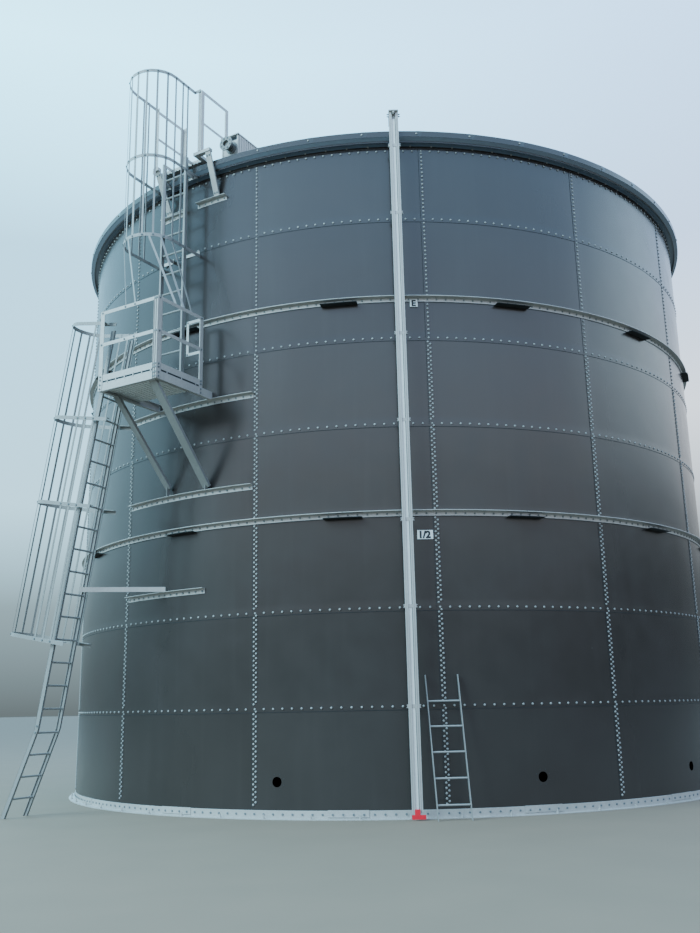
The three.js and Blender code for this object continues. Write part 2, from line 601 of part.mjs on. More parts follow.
// Landing over the rim with its guard rails and struts
function buildLanding() {
  const floorBottom = roofHeight(-LANDING_REAR) + 2 * SEAT;
  const front = LANDING_FRONT;
  const beamFront = LANDING_BEAM_FRONT;
  const deck = [
    block(LANDING_LEFT, LANDING_RIGHT, front, LANDING_REAR, floorBottom, LANDING_TOP),
    block(LANDING_LEFT, LANDING_LEFT + 75, beamFront - 35, front + 5, floorBottom, LANDING_TOP),
    block(LANDING_LEFT + 50, LANDING_LEFT + 150, beamFront - 80, beamFront - 10, floorBottom, LANDING_TOP),
    block(LANDING_RIGHT - 75, LANDING_RIGHT, beamFront - 35, front + 5, floorBottom, LANDING_TOP),
    block(LANDING_RIGHT - 5, LANDING_RIGHT + 225, beamFront - 80, beamFront - 10, floorBottom, LANDING_TOP),
    block(LANDING_RIGHT - 75, LANDING_RIGHT, beamFront - 80, beamFront - 30, floorBottom, LANDING_TOP),
    block(UPPER_LADDER_LEFT + STILE_FLANGE + SEAT, UPPER_LADDER_LEFT + STILE_FLANGE + 8, UPPER_LADDER_Y - 20,
      front + 5, LANDING_TOP - 52, LANDING_TOP - 2),
    block(UPPER_LADDER_RIGHT - STILE_FLANGE - 8, UPPER_LADDER_RIGHT - STILE_FLANGE - SEAT, UPPER_LADDER_Y - 20,
      front + 5, LANDING_TOP - 52, LANDING_TOP - 2),
  ];
  addPart(access, "landing_deck", weld(deck), GALVANISED);

  const guards = { landing_guard_left: [LANDING_LEFT, 1, 9880], landing_guard_right: [LANDING_RIGHT, -1, 9822] };
  const t = ANGLE_STEEL;
  for (const [name, [edge, inward, middle]] of Object.entries(guards)) {
    const x0 = inward > 0 ? edge : edge - t;
    const span = (width) => (inward > 0 ? [edge, edge + width] : [edge - width, edge]);
    const [legLow, legHigh] = span(POST_LEG);
    const base = LANDING_TOP + SEAT;
    const rear = LANDING_REAR - 20;
    const pieces = [
      block(x0, x0 + t, beamFront, beamFront + POST_LEG, base, GUARD_TOP),
      block(legLow, legHigh, beamFront, beamFront + t, base, GUARD_TOP),
      block(x0, x0 + t, rear - POST_LEG, rear, base, GUARD_TOP),
      block(legLow, legHigh, rear - t, rear, base, GUARD_TOP),
      block(x0, x0 + t, beamFront, rear, GUARD_TOP - RAIL_HEIGHT, GUARD_TOP),
      block(x0, x0 + t, beamFront, rear, middle, middle + 40),
    ];
    addPart(access, name, weld(pieces), GALVANISED);
  }

  const struts = {
    landing_strut_right: [200, 218, 8612, beamFront - 68],
    landing_strut_left: [-790, -720, 8585, beamFront - 44],
  };
  for (const [name, [headX, footX, angleTop, headY]] of Object.entries(struts)) {
    const foot = new THREE.Vector3(footX, shellFront(footX) - 45, angleTop);
    const head = new THREE.Vector3(headX, headY, floorBottom);
    const along = head.clone().sub(foot).normalize().multiplyScalar(60);
    const bar = prism(channelOutline(90, 30, t), foot.clone().sub(along), head.clone().add(along),
      new THREE.Vector3(1, 0, 0));
    addPart(access, name, levelled(bar, angleTop + SEAT, floorBottom - SEAT), GALVANISED);
  }
}

// Roof box with its flanged inlet stub
function buildRoofBox() {
  const x0 = 275;
  const x1 = 580;
  const y0 = -5350;
  const y1 = -4860;
  const top = 9535;
  const lift = 0.5;
  const wall = block(x0, x1, y0, y1, 9000, top);
  const below = turned([[0, 8000], [RIM_RADIUS + 200, 8000], [RIM_RADIUS + 200, roofHeight(RIM_RADIUS + 200) + lift],
    [0, roofHeight(0) + lift]]);
  below.rotateZ(radians(-ACCESS_AZIMUTH));
  const body = cut(wall, [below]);
  const lid = block(x0 - 12, x1 + 12, y0 - 25, y1 + 12, top - 2, top + 14);
  addPart(access, "roof_box", weld([body, lid]), GALVANISED);

  const x = 458;
  const z = 9350;
  const face = y0 - SEAT;
  const flangeFront = -5500;
  const stub = weld([
    roundBar(new THREE.Vector3(x, face, z), new THREE.Vector3(x, flangeFront + 5, z), 58, 24),
    roundBar(new THREE.Vector3(x, flangeFront + 18, z), new THREE.Vector3(x, flangeFront, z), 110, 24),
    roundBar(new THREE.Vector3(x, face, z), new THREE.Vector3(x, face - 14, z), 95, 24),
  ]);
  const bore = roundBar(new THREE.Vector3(x, face - 10, z), new THREE.Vector3(x, flangeFront - 20, z), 50, 24);
  addPart(access, "roof_inlet_stub", cut(stub, [bore]), GALVANISED);
}

/** A stile that leans to the left, level at its two ends, between two heights of its centre line. */
function leaningStile(lineAt, bottom, top, y0, y1) {
  const halfLow = STILE_DEPTH / 2;
  const outline = [
    [lineAt(bottom) - halfLow, bottom], [lineAt(bottom) + halfLow, bottom],
    [lineAt(top) + halfLow, top], [lineAt(top) - halfLow, top],
  ];
  const from = new THREE.Vector3(0, y1, 0);
  const to = new THREE.Vector3(0, y0, 0);
  return prism(outline, from, to, new THREE.Vector3(1, 0, 0));
}

// Lower ladder: a long leaning section with a cage, a steeper foot section and its arm to the shell
function buildLowerLadder() {
  const ladder = new THREE.Group();
  ladder.position.set(LOWER_LADDER_X, LOWER_LADDER_Y, 0);
  ladder.rotation.z = radians(LOWER_AZIMUTH_TURN);
  access.add(ladder);
  const mainLine = (z) => -(BEAM_BOTTOM - z) * LOWER_LEAN;
  const footLine = (z) => mainLine(KINK_HEIGHT) - (KINK_HEIGHT - z) * FOOT_LEAN;
  const half = LOWER_HALF_WIDTH;
  const inside = half - STILE_STEEL;

  const main = [
    leaningStile(mainLine, KINK_HEIGHT + SEAT / 2, LOWER_TOP, -half, -inside),
    leaningStile(mainLine, KINK_HEIGHT + SEAT / 2, LOWER_TOP, inside, half),
  ];
  const pitch = RUNG_PITCH * Math.cos(Math.atan(LOWER_LEAN));
  for (let i = 0; i < 15; i += 1) {
    const z = LOWER_RUNG_START - i * pitch;
    main.push(roundBar(new THREE.Vector3(mainLine(z), -inside - 2, z), new THREE.Vector3(mainLine(z), inside + 2, z),
      RUNG_RADIUS));
  }
  main.push(block(0, 66.6, -half - 8, -half + 2, BEAM_BOTTOM + 10, BEAM_BOTTOM + 105));
  main.push(block(0, 102.2, half - 2, half + 8, BEAM_BOTTOM + 10, BEAM_BOTTOM + 105));
  addPart(ladder, "lower_ladder", weld(main), LADDER_STEEL);

  const foot = [
    leaningStile(footLine, 0, KINK_HEIGHT - SEAT / 2, -half, -inside),
    leaningStile(footLine, 0, KINK_HEIGHT - SEAT / 2, inside, half),
  ];
  const footPitch = RUNG_PITCH * Math.cos(Math.atan(FOOT_LEAN));
  for (let i = 0; i < 4; i += 1) {
    const z = KINK_HEIGHT - 45 - i * footPitch;
    foot.push(roundBar(new THREE.Vector3(footLine(z), -inside - 2, z), new THREE.Vector3(footLine(z), inside + 2, z),
      RUNG_RADIUS));
  }
  addPart(ladder, "lower_ladder_foot", weld(foot), LADDER_STEEL);

  // The hoops stand square to the ladder: built upright along its line, then leaned
  const shinFront = (STILE_DEPTH / 2) * Math.cos(Math.atan(LOWER_LEAN)) + SEAT;
  const radius = 262;
  const armEnd = 230;
  const armEnds = [[armEnd, armEnd], [armEnd, armEnd], [armEnd, armEnd], [40, -137]];
  const arcX = -590;
  const scale = 1 / Math.cos(Math.atan(LOWER_LEAN));
  const along = (z) => (z - BEAM_BOTTOM) * scale;
  const heights = [2210, 3990, 5160, 6490].map(along);
  const cage = [];
  for (const [i, s] of heights.entries()) {
    const [shellSide, openSide] = armEnds[i];
    const flat = hoop(new THREE.Vector2(-radius, shellSide), new THREE.Vector2(radius, openSide),
      new THREE.Vector2(0, arcX), radius, s);
    cage.push(flat.rotateZ(-Math.PI / 2));
    for (const [sideSign, end] of [[1, shellSide], [-1, openSide]]) {
      const near = end > 0 ? 0 : end - 60;
      const [y0, y1] = [half + SEAT, radius + 3].map((y) => y * sideSign).sort((m, n) => m - n);
      cage.push(block(near, end, y0, y1, s + 17, s + 25));
      const [u0, u1] = [half + SEAT, half + 8].map((y) => y * sideSign).sort((m, n) => m - n);
      cage.push(block(near, Math.max(near + 60, 40), u0, u1, s - 25, s + 25));
    }
  }
  const bottom = heights[0] - 25;
  const top = heights[3] + 25;
  for (const degrees of [-75, -43, -15, 15, 43]) {
    const piece = strap(new THREE.Vector2(0, 0), radius, radians(degrees), bottom, top);
    piece.rotateZ(-Math.PI / 2);
    cage.push(piece.translate(arcX, 0, 0));
  }
  const middle = heights[2] + 25;
  const arms = [[-278, 1, top], [-278, -1, top], [-140, 1, top], [-140, -1, middle], [-5, 1, top], [-5, -1, middle]];
  for (const [x, side, end] of arms) {
    const y = side * (radius - 2);
    cage.push(block(x - STRAP_WIDTH / 2, x + STRAP_WIDTH / 2, y - 3, y + 3, bottom, end));
  }
  const cageGeometry = weld(cage);
  cageGeometry.rotateY(Math.atan(LOWER_LEAN));
  cageGeometry.translate(0, 0, BEAM_BOTTOM);
  addPart(ladder, "lower_cage", cageGeometry, LADDER_STEEL);

  // The arm passes the stile on its right and ends short of the other one
  const armZ = ARM_ANGLE_TOP + SEAT + POST_LEG / 2;
  const shellEnd = new THREE.Vector3(-600 - LOWER_LADDER_X, shellFront(600) - 45 - LOWER_LADDER_Y, armZ);
  shellEnd.applyAxisAngle(new THREE.Vector3(0, 0, 1), -radians(LOWER_AZIMUTH_TURN));
  const stileX = mainLine(armZ);
  const pass = new THREE.Vector3(stileX + 65, half - 5, armZ);
  const inwards = pass.clone().sub(shellEnd).normalize();
  const ladderEnd = pass.clone().addScaledVector(inwards, 120);
  const splice = pass.clone().addScaledVector(inwards, -190);
  const beside = new THREE.Vector3(-inwards.y, inwards.x, 0).multiplyScalar(-7);
  const upright = new THREE.Vector3(0, 0, 1);
  const arm = [
    prism(flatOutline(POST_LEG, 8), shellEnd, ladderEnd, upright),
    prism(flatOutline(POST_LEG - 6, 8), splice.add(beside), ladderEnd.clone().add(beside), upright),
  ];
  addPart(ladder, "ladder_arm", weld(arm), GALVANISED);
}

// Spare ladder section that leans on the shell beside the gauge
function buildSpareLadder() {
  const spare = new THREE.Group();
  spare.rotation.z = radians(6.8);
  tank.add(spare);
  const half = 205;
  const shin = 28;
  const top = 1670;
  const footY = -5650;
  const seatY = -Math.sqrt(RADIUS * RADIUS - half * half) - shin - SEAT;
  const lean = (seatY - footY) / top;
  const sideways = new THREE.Matrix4().set(1, 0, -0.03, 0, 0, 1, 0, 0, 0, 0, 1, 0, 0, 0, 0, 1);
  const at = (z) => footY + z * lean;
  const pieces = [];
  for (const x of [-half, half - 8]) {
    const outline = [[at(0) - shin, 0], [at(0) + shin, 0], [at(top) + shin, top], [at(top) - shin, top]];
    const from = new THREE.Vector3(x, 0, 0);
    const to = new THREE.Vector3(x + 8, 0, 0);
    pieces.push(prism(outline, from, to, new THREE.Vector3(0, 1, 0)));
  }
  for (let i = 0; i < 5; i += 1) {
    const z = 171 + i * RUNG_PITCH * Math.cos(Math.atan(lean));
    pieces.push(roundBar(new THREE.Vector3(-half + 2, at(z), z), new THREE.Vector3(half - 2, at(z), z), RUNG_RADIUS));
  }
  addPart(spare, "spare_ladder_section", weld(pieces).applyMatrix4(sideways), LADDER_STEEL);
}

buildShell();
buildRings();
buildGauge();
buildShellAngles();
buildPlatform();
buildUpperLadder();
buildLanding();
buildRoofBox();
buildLowerLadder();
buildSpareLadder();

export default tank;
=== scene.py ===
"""A round storage tank of bolted coated panels, dressed for close viewing.

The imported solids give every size. This script lays smooth lapped panels, rolled rings, roof sheets,
bolts, ribbed decks and ladder sections over them, and gives each surface its finish.
"""

import json
import logging
import math
from collections.abc import Sequence
from dataclasses import dataclass, field
from enum import Enum

import bpy
import numpy as np
from mathutils import Matrix, Vector


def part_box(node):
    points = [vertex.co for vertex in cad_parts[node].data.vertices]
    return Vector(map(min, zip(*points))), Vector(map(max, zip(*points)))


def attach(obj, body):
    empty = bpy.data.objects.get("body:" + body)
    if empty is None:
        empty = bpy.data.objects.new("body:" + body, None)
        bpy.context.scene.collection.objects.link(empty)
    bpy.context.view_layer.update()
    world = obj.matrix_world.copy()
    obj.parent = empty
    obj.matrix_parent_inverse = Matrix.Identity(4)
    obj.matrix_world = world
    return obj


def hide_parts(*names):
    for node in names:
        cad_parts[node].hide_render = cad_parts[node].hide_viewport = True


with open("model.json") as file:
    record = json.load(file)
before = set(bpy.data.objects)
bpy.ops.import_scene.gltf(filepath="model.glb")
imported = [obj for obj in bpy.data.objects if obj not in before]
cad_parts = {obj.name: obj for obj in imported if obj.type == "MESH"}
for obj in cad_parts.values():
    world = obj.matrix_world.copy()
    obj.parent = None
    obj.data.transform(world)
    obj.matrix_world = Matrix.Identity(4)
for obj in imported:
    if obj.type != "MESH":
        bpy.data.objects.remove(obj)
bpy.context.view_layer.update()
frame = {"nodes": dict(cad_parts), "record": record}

LOG = logging.getLogger("tank")
TANK = "tank"

PANELS_ROUND = 14
PANEL_WIDTH = 2.4
RADIUS = PANELS_ROUND * PANEL_WIDTH / (2 * math.pi)
FIRST_SEAM = math.radians(-44.88)
PANEL_ANGLE = 2 * math.pi / PANELS_ROUND
SHEET_STEP = 0.003
BOLTS_PER_PANEL = 19
STIFFENER_SEAMS = (3.7, 6.655)
ACCESS_TURN = math.radians(-28.5)
# Nodes shown in the darker zinc: on the two platform braces it is painted shade of the platform over them.
DARK_ZINC_NODES = ("platform_brace_left", "platform_brace_right", "roof_inlet_stub")

Pair = tuple[float, float]
Triple = tuple[float, float, float]
SkyStops = tuple[tuple[float, float, float, float], ...]
Numbers = np.ndarray | float
Socket = bpy.types.NodeSocket
Material = bpy.types.Material
NodeTree = bpy.types.NodeTree


class Slot(Enum):
    """The record's material slots."""

    COATING = "shell_coating"
    GALVANISED = "galvanised_steel"
    LADDER = "ladder_steel"
    TARGET = "target_paint"


class Graph:
    """A short way to write one material's nodes."""

    def __init__(self, name: str) -> None:
        """Starts a material with its shader and Object coordinates.

        Args:
            name: the material's name.
        """
        self.material = bpy.data.materials.new(name)
        self.material.use_nodes = True
        self.tree = self.material.node_tree
        self.shader = self.tree.nodes["Principled BSDF"]
        self.place = self.add("ShaderNodeTexCoord").outputs["Object"]

    def add(self, kind: str, **settings: object) -> bpy.types.Node:
        """Adds a node and sets its properties.

        Args:
            kind: the node's type name.
            settings: property names and values.

        Returns:
            The new node.
        """
        node = self.tree.nodes.new(kind)
        for key, value in settings.items():
            setattr(node, key, value)
        return node

    def join(self, output: Socket, socket: Socket) -> None:
        """Links an output to a socket."""
        self.tree.links.new(output, socket)

    def stretched(self, scale: Triple) -> Socket:
        """Object coordinates with each axis multiplied.

        Args:
            scale: the factor of each axis, small ones draw a pattern out along that axis.

        Returns:
            The vector's socket.
        """
        mapping = self.add("ShaderNodeMapping")
        mapping.inputs["Scale"].default_value = scale
        self.join(self.place, mapping.inputs["Vector"])
        return mapping.outputs["Vector"]

    def noise(self, scale: float, detail: float = 3.0, vector: Socket | None = None,
              distortion: float = 0.0) -> Socket:
        """A fractal noise between 0 and 1.

        Args:
            scale: features per metre.
            detail: octaves.
            vector: coordinates, the Object ones if left out.
            distortion: how far the noise warps itself.

        Returns:
            The value's socket.
        """
        node = self.add("ShaderNodeTexNoise")
        node.inputs["Scale"].default_value = scale
        node.inputs["Detail"].default_value = detail
        node.inputs["Distortion"].default_value = distortion
        self.join(vector or self.place, node.inputs["Vector"])
        return node.outputs["Fac"]

    def cells(self, scale: float, feature: str = "F1", output: str = "Distance") -> Socket:
        """A cell pattern.

        Args:
            scale: cells per metre.
            feature: the distance that is measured.
            output: the node's output to read.

        Returns:
            The output's socket.
        """
        node = self.add("ShaderNodeTexVoronoi", feature=feature)
        node.inputs["Scale"].default_value = scale
        self.join(self.place, node.inputs["Vector"])
        return node.outputs[output]

    def spread(self, value: Socket, low: float, high: float, start: float = 0.0, end: float = 1.0) -> Socket:
        """Maps a value's range start to end onto low to high, held at both ends.

        Args:
            value: the socket to map.
            low: result at start.
            high: result at end.
            start: lower input.
            end: upper input.

        Returns:
            The mapped value's socket.
        """
        node = self.add("ShaderNodeMapRange")
        self.join(value, node.inputs["Value"])
        for key, number in (("From Min", start), ("From Max", end), ("To Min", low), ("To Max", high)):
            node.inputs[key].default_value = number
        return node.outputs["Result"]

    def blend(self, share: Socket, first: object, second: object, mode: str = "MIX") -> Socket:
        """Mixes two colours.

        Args:
            share: how much of the second one shows.
            first: a socket or a colour of three numbers.
            second: a socket or a colour of three numbers.
            mode: the way they mix.

        Returns:
            The mixed colour's socket.
        """
        node = self.add("ShaderNodeMix", data_type="RGBA", blend_type=mode)
        self.join(share, node.inputs[0])
        for socket, value in ((node.inputs[6], first), (node.inputs[7], second)):
            if isinstance(value, Socket):
                self.join(value, socket)
            else:
                socket.default_value = (*value, 1.0)
        return node.outputs[2]

    def bump(self, height: Socket, distance: float, strength: float, under: Socket | None = None) -> Socket:
        """A bump map of a height.

        Args:
            height: the height's socket.
            distance: metres between height 0 and 1.
            strength: how much of it shows.
            under: another bump's normal beneath it.

        Returns:
            The normal's socket.
        """
        node = self.add("ShaderNodeBump")
        node.inputs["Distance"].default_value = distance
        node.inputs["Strength"].default_value = strength
        self.join(height, node.inputs["Height"])
        if under is not None:
            self.join(under, node.inputs["Normal"])
        return node.outputs["Normal"]

    def attribute(self, name: str) -> Socket:
        """The number kept on the mesh's points under a name."""
        node = self.add("ShaderNodeAttribute", attribute_name=name)
        return node.outputs["Fac"]

    def set(self, **values: object) -> None:
        """Sets or links the shader's sockets.

        Args:
            values: socket names with underscores for spaces, and numbers, colours or sockets.
        """
        for key, value in values.items():
            socket = self.shader.inputs[key.replace("_", " ").title().replace("Ior", "IOR")]
            if isinstance(value, Socket):
                self.join(value, socket)
            elif isinstance(value, tuple):
                socket.default_value = (*value, 1.0)
            else:
                socket.default_value = value


@dataclass(frozen=True)
class PanelCoating:
    """Dark baked coating on the panels: even, satin, a little dusty, with rain tracks and pale scuffs."""

    name: str = "slate_coating"
    colour: Triple = (0.024, 0.0185, 0.017)
    dust: Triple = (0.047, 0.040, 0.038)
    scuff: Triple = (0.30, 0.31, 0.31)
    gloss_low: float = 0.17
    gloss_high: float = 0.30
    refraction: float = 1.6

    def material(self) -> Material:
        """The finish as a material."""
        g = Graph(self.name)
        clouds = g.noise(scale=0.55, detail=4.0, distortion=0.6)
        tracks = g.noise(scale=1.0, detail=5.0, vector=g.stretched((7.0, 7.0, 0.45)))
        grime = g.noise(scale=3.2, detail=6.0)
        tone = g.blend(g.spread(clouds, 0.0, 0.30, start=0.35, end=0.75), self.colour, self.dust)
        tone = g.blend(g.spread(tracks, 0.0, 0.16, start=0.52, end=0.78), tone, self.dust)
        shade = g.spread(g.attribute("tone"), 0.0, 1.0)
        tone = g.blend(shade, tone, g.blend(g.spread(grime, 0.2, 0.5), tone, self.dust))
        spots = g.spread(g.cells(scale=1.15), 1.0, 0.0, start=0.012, end=0.030)
        rare = g.spread(g.noise(scale=0.8, detail=1.0), 0.0, 0.75, start=0.56, end=0.60)
        marks = g.add("ShaderNodeMath", operation="MULTIPLY")
        g.join(spots, marks.inputs[0])
        g.join(rare, marks.inputs[1])
        tone = g.blend(marks.outputs[0], tone, self.scuff)
        peel = g.bump(g.noise(scale=95.0, detail=2.0), distance=0.0006, strength=0.10)
        waves = g.bump(g.noise(scale=1.3, detail=2.0), distance=0.012, strength=0.22, under=peel)
        g.set(base_color=tone, roughness=g.spread(grime, self.gloss_low, self.gloss_high),
              ior=self.refraction, normal=waves)
        return g.material


@dataclass(frozen=True)
class ZincCoat:
    """Galvanised steel: crystal spangle, cloudy patches and dull drips."""

    name: str = "zinc_coat"
    pale: Triple = (0.50, 0.48, 0.465)
    deep: Triple = (0.40, 0.385, 0.375)
    stain: Triple = (0.28, 0.27, 0.265)
    spangle: float = 55.0
    metal: float = 0.35

    def material(self) -> Material:
        """The finish as a material."""
        g = Graph(self.name)
        crystals = g.cells(self.spangle, output="Color")
        split = g.add("ShaderNodeSeparateColor")
        g.join(crystals, split.inputs[0])
        clouds = g.noise(scale=2.1, detail=5.0, distortion=0.4)
        drips = g.noise(scale=1.0, detail=5.0, vector=g.stretched((22.0, 22.0, 1.6)))
        tone = g.blend(g.spread(split.outputs[0], 0.0, 0.55), self.pale, self.deep)
        tone = g.blend(g.spread(clouds, 0.0, 0.6, start=0.40, end=0.75), tone, self.deep)
        tone = g.blend(g.spread(drips, 0.0, 0.45, start=0.60, end=0.80), tone, self.stain)
        g.set(base_color=tone, metallic=self.metal, roughness=g.spread(split.outputs[1], 0.40, 0.52),
              normal=g.bump(g.noise(scale=180.0, detail=2.0), distance=0.0008, strength=0.12))
        return g.material


@dataclass(frozen=True)
class PlainPaint:
    """An even paint or plastic with fine mottling."""

    name: str
    colour: Triple
    shade: Triple
    roughness: float
    grain: float

    def material(self) -> Material:
        """The finish as a material."""
        g = Graph(self.name)
        mottle = g.noise(self.grain, detail=4.0)
        tone = g.blend(g.spread(mottle, 0.0, 0.8, start=0.3, end=0.8), self.colour, self.shade)
        g.set(base_color=tone, roughness=self.roughness,
              normal=g.bump(mottle, distance=0.0006, strength=0.15))
        return g.material


class Finishes:
    """Every finish of the tank, each made once."""

    def __init__(self) -> None:
        """Makes the materials."""
        self.coating = PanelCoating().material()
        self.zinc = ZincCoat().material()
        # bright: a much lighter copy of the zinc, painted light on the platform ribs' undersides and the
        # gauge slot's floor
        self.bright = ZincCoat("zinc_painted_light", (0.80, 0.81, 0.79), (0.68, 0.69, 0.68), (0.52, 0.53, 0.52),
                               metal=0.2).material()
        # dark_zinc: a darker copy of the zinc, painted shade on the platform braces; the inlet stub and its
        # rings use it too.
        self.dark_zinc = ZincCoat("zinc_dull", (0.24, 0.235, 0.23), (0.19, 0.185, 0.18), (0.14, 0.138, 0.135),
                             metal=0.3).material()
        self.ladder = ZincCoat("ladder_metal", (0.31, 0.305, 0.30), (0.25, 0.246, 0.242),
                               (0.18, 0.177, 0.175), spangle=90.0).material()
        # painted_light_coating: a much lighter, bluer copy of the panel coating, painted light on the eave's
        # shaded faces and the roof sheets' undersides
        self.painted_light_coating = PanelCoating("eave_painted_light_coating", (0.17, 0.215, 0.28), (0.20, 0.25, 0.32)).material()
        self.cap = self.paint("bolt_cap", (0.31, 0.305, 0.30), (0.21, 0.207, 0.205), 0.38, 25.0)
        self.dark_bolt = self.paint("bolt_dark", (0.10, 0.12, 0.13), (0.18, 0.20, 0.21), 0.42, 25.0)
        # painted_shade_lines: a darker zinc for lines of painted shade beside and on the gauge board's slot
        self.painted_shade_lines = self.paint("zinc_painted_shade_lines", (0.20, 0.205, 0.20), (0.15, 0.155, 0.15), 0.5, 30.0)
        # Near-black: real sealant on the panel laps and the ring joints, and painted shade in holes, gaps and
        # slots and under the ring splices.
        self.sealant_and_shade_black = self.paint("sealant_and_shade_black", (0.012, 0.014, 0.016), (0.020, 0.022, 0.024), 0.75, 60.0)
        self.red = self.paint("target_red", (0.72, 0.016, 0.036), (0.58, 0.013, 0.028), 0.36, 30.0)
        self.plate = self.paint("plate_white", (0.80, 0.82, 0.80), (0.70, 0.72, 0.70), 0.45, 30.0)
        self.ink = self.paint("plate_black", (0.010, 0.010, 0.011), (0.016, 0.016, 0.017), 0.5, 50.0)
        self.floor = self.paint("pale_floor", (0.19, 0.138, 0.103), (0.17, 0.124, 0.093), 0.8, 1.2)

    @staticmethod
    def paint(name: str, colour: Triple, shade: Triple, roughness: float, grain: float) -> Material:
        """A plain paint's material."""
        return PlainPaint(name, colour, shade, roughness, grain).material()

    def of_slot(self, slot: Slot) -> Material:
        """The material that a record slot is shown with."""
        return {Slot.COATING: self.coating, Slot.GALVANISED: self.zinc, Slot.LADDER: self.ladder,
                Slot.TARGET: self.red}[slot]


@dataclass(frozen=True)
class Place:
    """A local frame: a turn and an origin in the tank's frame."""

    turn: Matrix
    origin: Vector

    def points(self, local: np.ndarray) -> np.ndarray:
        """Local points in the tank's frame: each is turned, then moved."""
        matrix = np.array(self.turn)
        return local @ matrix.T + np.array(self.origin)

    def directions(self, local: np.ndarray) -> np.ndarray:
        """Local directions in the tank's frame."""
        return local @ np.array(self.turn).T

    def then(self, turn: Matrix, origin: Sequence[float]) -> "Place":
        """A frame that is placed inside this one.

        Args:
            turn: the inner frame's turn.
            origin: the inner frame's origin, in this one.

        Returns:
            The inner frame.
        """
        return Place(self.turn @ turn, self.turn @ Vector(origin) + self.origin)


WORLD = Place(Matrix.Identity(3), Vector((0, 0, 0)))
ACCESS = WORLD.then(Matrix.Rotation(ACCESS_TURN, 3, "Z"), (0, 0, 0))


def around(radius: Numbers, azimuth: Numbers, height: Numbers) -> np.ndarray:
    """Points round the tank: x is radius times sine, y is minus radius times cosine, z is the height.

    Args:
        radius: distance from the axis.
        azimuth: angle in radians, 0 towards the gauge side, rising to the right.
        height: height over the ground.

    Returns:
        Points, with the three coordinates last.
    """
    radius, azimuth, height = np.broadcast_arrays(radius, azimuth, height)
    return np.stack([radius * np.sin(azimuth), -radius * np.cos(azimuth), height], -1)


def ease(share: np.ndarray) -> np.ndarray:
    """A smooth step: three times the square less twice the cube, between 0 and 1."""
    share = np.clip(share, 0.0, 1.0)
    return share * share * (3 - 2 * share)


def grid_quads(rows: int, columns: int, wrap_rows: bool = False, wrap_columns: bool = False) -> np.ndarray:
    """Four-cornered faces of a grid of points numbered row by row.

    Args:
        rows: rows of points.
        columns: points in a row.
        wrap_rows: the last row joins the first.
        wrap_columns: the last column joins the first.

    Returns:
        Faces that look along the cross product of the column and row directions.
    """
    number = np.arange(rows * columns).reshape(rows, columns)
    if wrap_rows:
        number = np.vstack([number, number[:1]])
    if wrap_columns:
        number = np.hstack([number, number[:, :1]])
    corners = [number[:-1, :-1], number[:-1, 1:], number[1:, 1:], number[1:, :-1]]
    return np.stack([c.ravel() for c in corners], -1)


@dataclass
class Shape:
    """Points of one closed form, and its faces in blocks of one number of corners."""

    points: np.ndarray
    faces: list[np.ndarray]

    def repeated(self, origins: np.ndarray, frames: np.ndarray) -> "Shape":
        """Copies of this form, all worked out in one step.

        Args:
            origins: a place for each copy.
            frames: for each copy the three directions that its axes take.

        Returns:
            The copies as one form.
        """
        count, size = len(origins), len(self.points)
        points = np.einsum("pi,nij->npj", self.points, frames) + origins[:, None, :]
        shift = (np.arange(count) * size)[:, None, None]
        faces = [(f[None] + shift).reshape(-1, f.shape[1]) for f in self.faces]
        return Shape(points.reshape(-1, 3), faces)

    def placed(self, place: Place) -> "Shape":
        """This form moved from a local frame to the tank's."""
        return Shape(place.points(self.points), self.faces)


def sheet(outer: np.ndarray, inner: np.ndarray) -> Shape:
    """A closed sheet between two grids of points.

    Args:
        outer: rows, columns and coordinates of the outer face.
        inner: the same for the inner face.

    Returns:
        The outer face, the turned inner face and the four edges.
    """
    rows, columns = outer.shape[:2]
    size = rows * columns
    quads = grid_quads(rows, columns)
    number = np.arange(size).reshape(rows, columns)
    rim = np.concatenate([number[0], number[1:, -1], number[-1, -2::-1], number[-2:0:-1, 0]])
    after = np.roll(rim, -1)
    edges = np.stack([after, rim, rim + size, after + size], -1)
    return Shape(np.concatenate([outer.reshape(-1, 3), inner.reshape(-1, 3)]),
                 [quads, quads[:, ::-1] + size, edges])


def rolled(profile: Sequence[Pair], azimuths: np.ndarray, closed: bool) -> Shape:
    """A profile rolled round the tank's axis.

    Args:
        profile: radius and height of each corner, counterclockwise with the radius to the right.
        azimuths: angles of the sections.
        closed: a whole ring, whose last section joins the first.

    Returns:
        The ring, or the arc with its two ends capped.
    """
    outline = np.array(profile)
    points = around(outline[:, None, 0], azimuths[None, :], outline[:, None, 1])
    rows, columns = points.shape[:2]
    faces = [grid_quads(rows, columns, wrap_rows=True, wrap_columns=closed)]
    if not closed:
        first = np.arange(rows) * columns
        faces.append(first[None, :])
        faces.append((first + columns - 1)[None, ::-1])
    return Shape(points.reshape(-1, 3), faces)


def band(inner: float, low: float, outer: float, high: float) -> list[Pair]:
    """The profile of a flat ring: two radii and two heights, as its four corners."""
    return [(inner, low), (outer, low), (outer, high), (inner, high)]


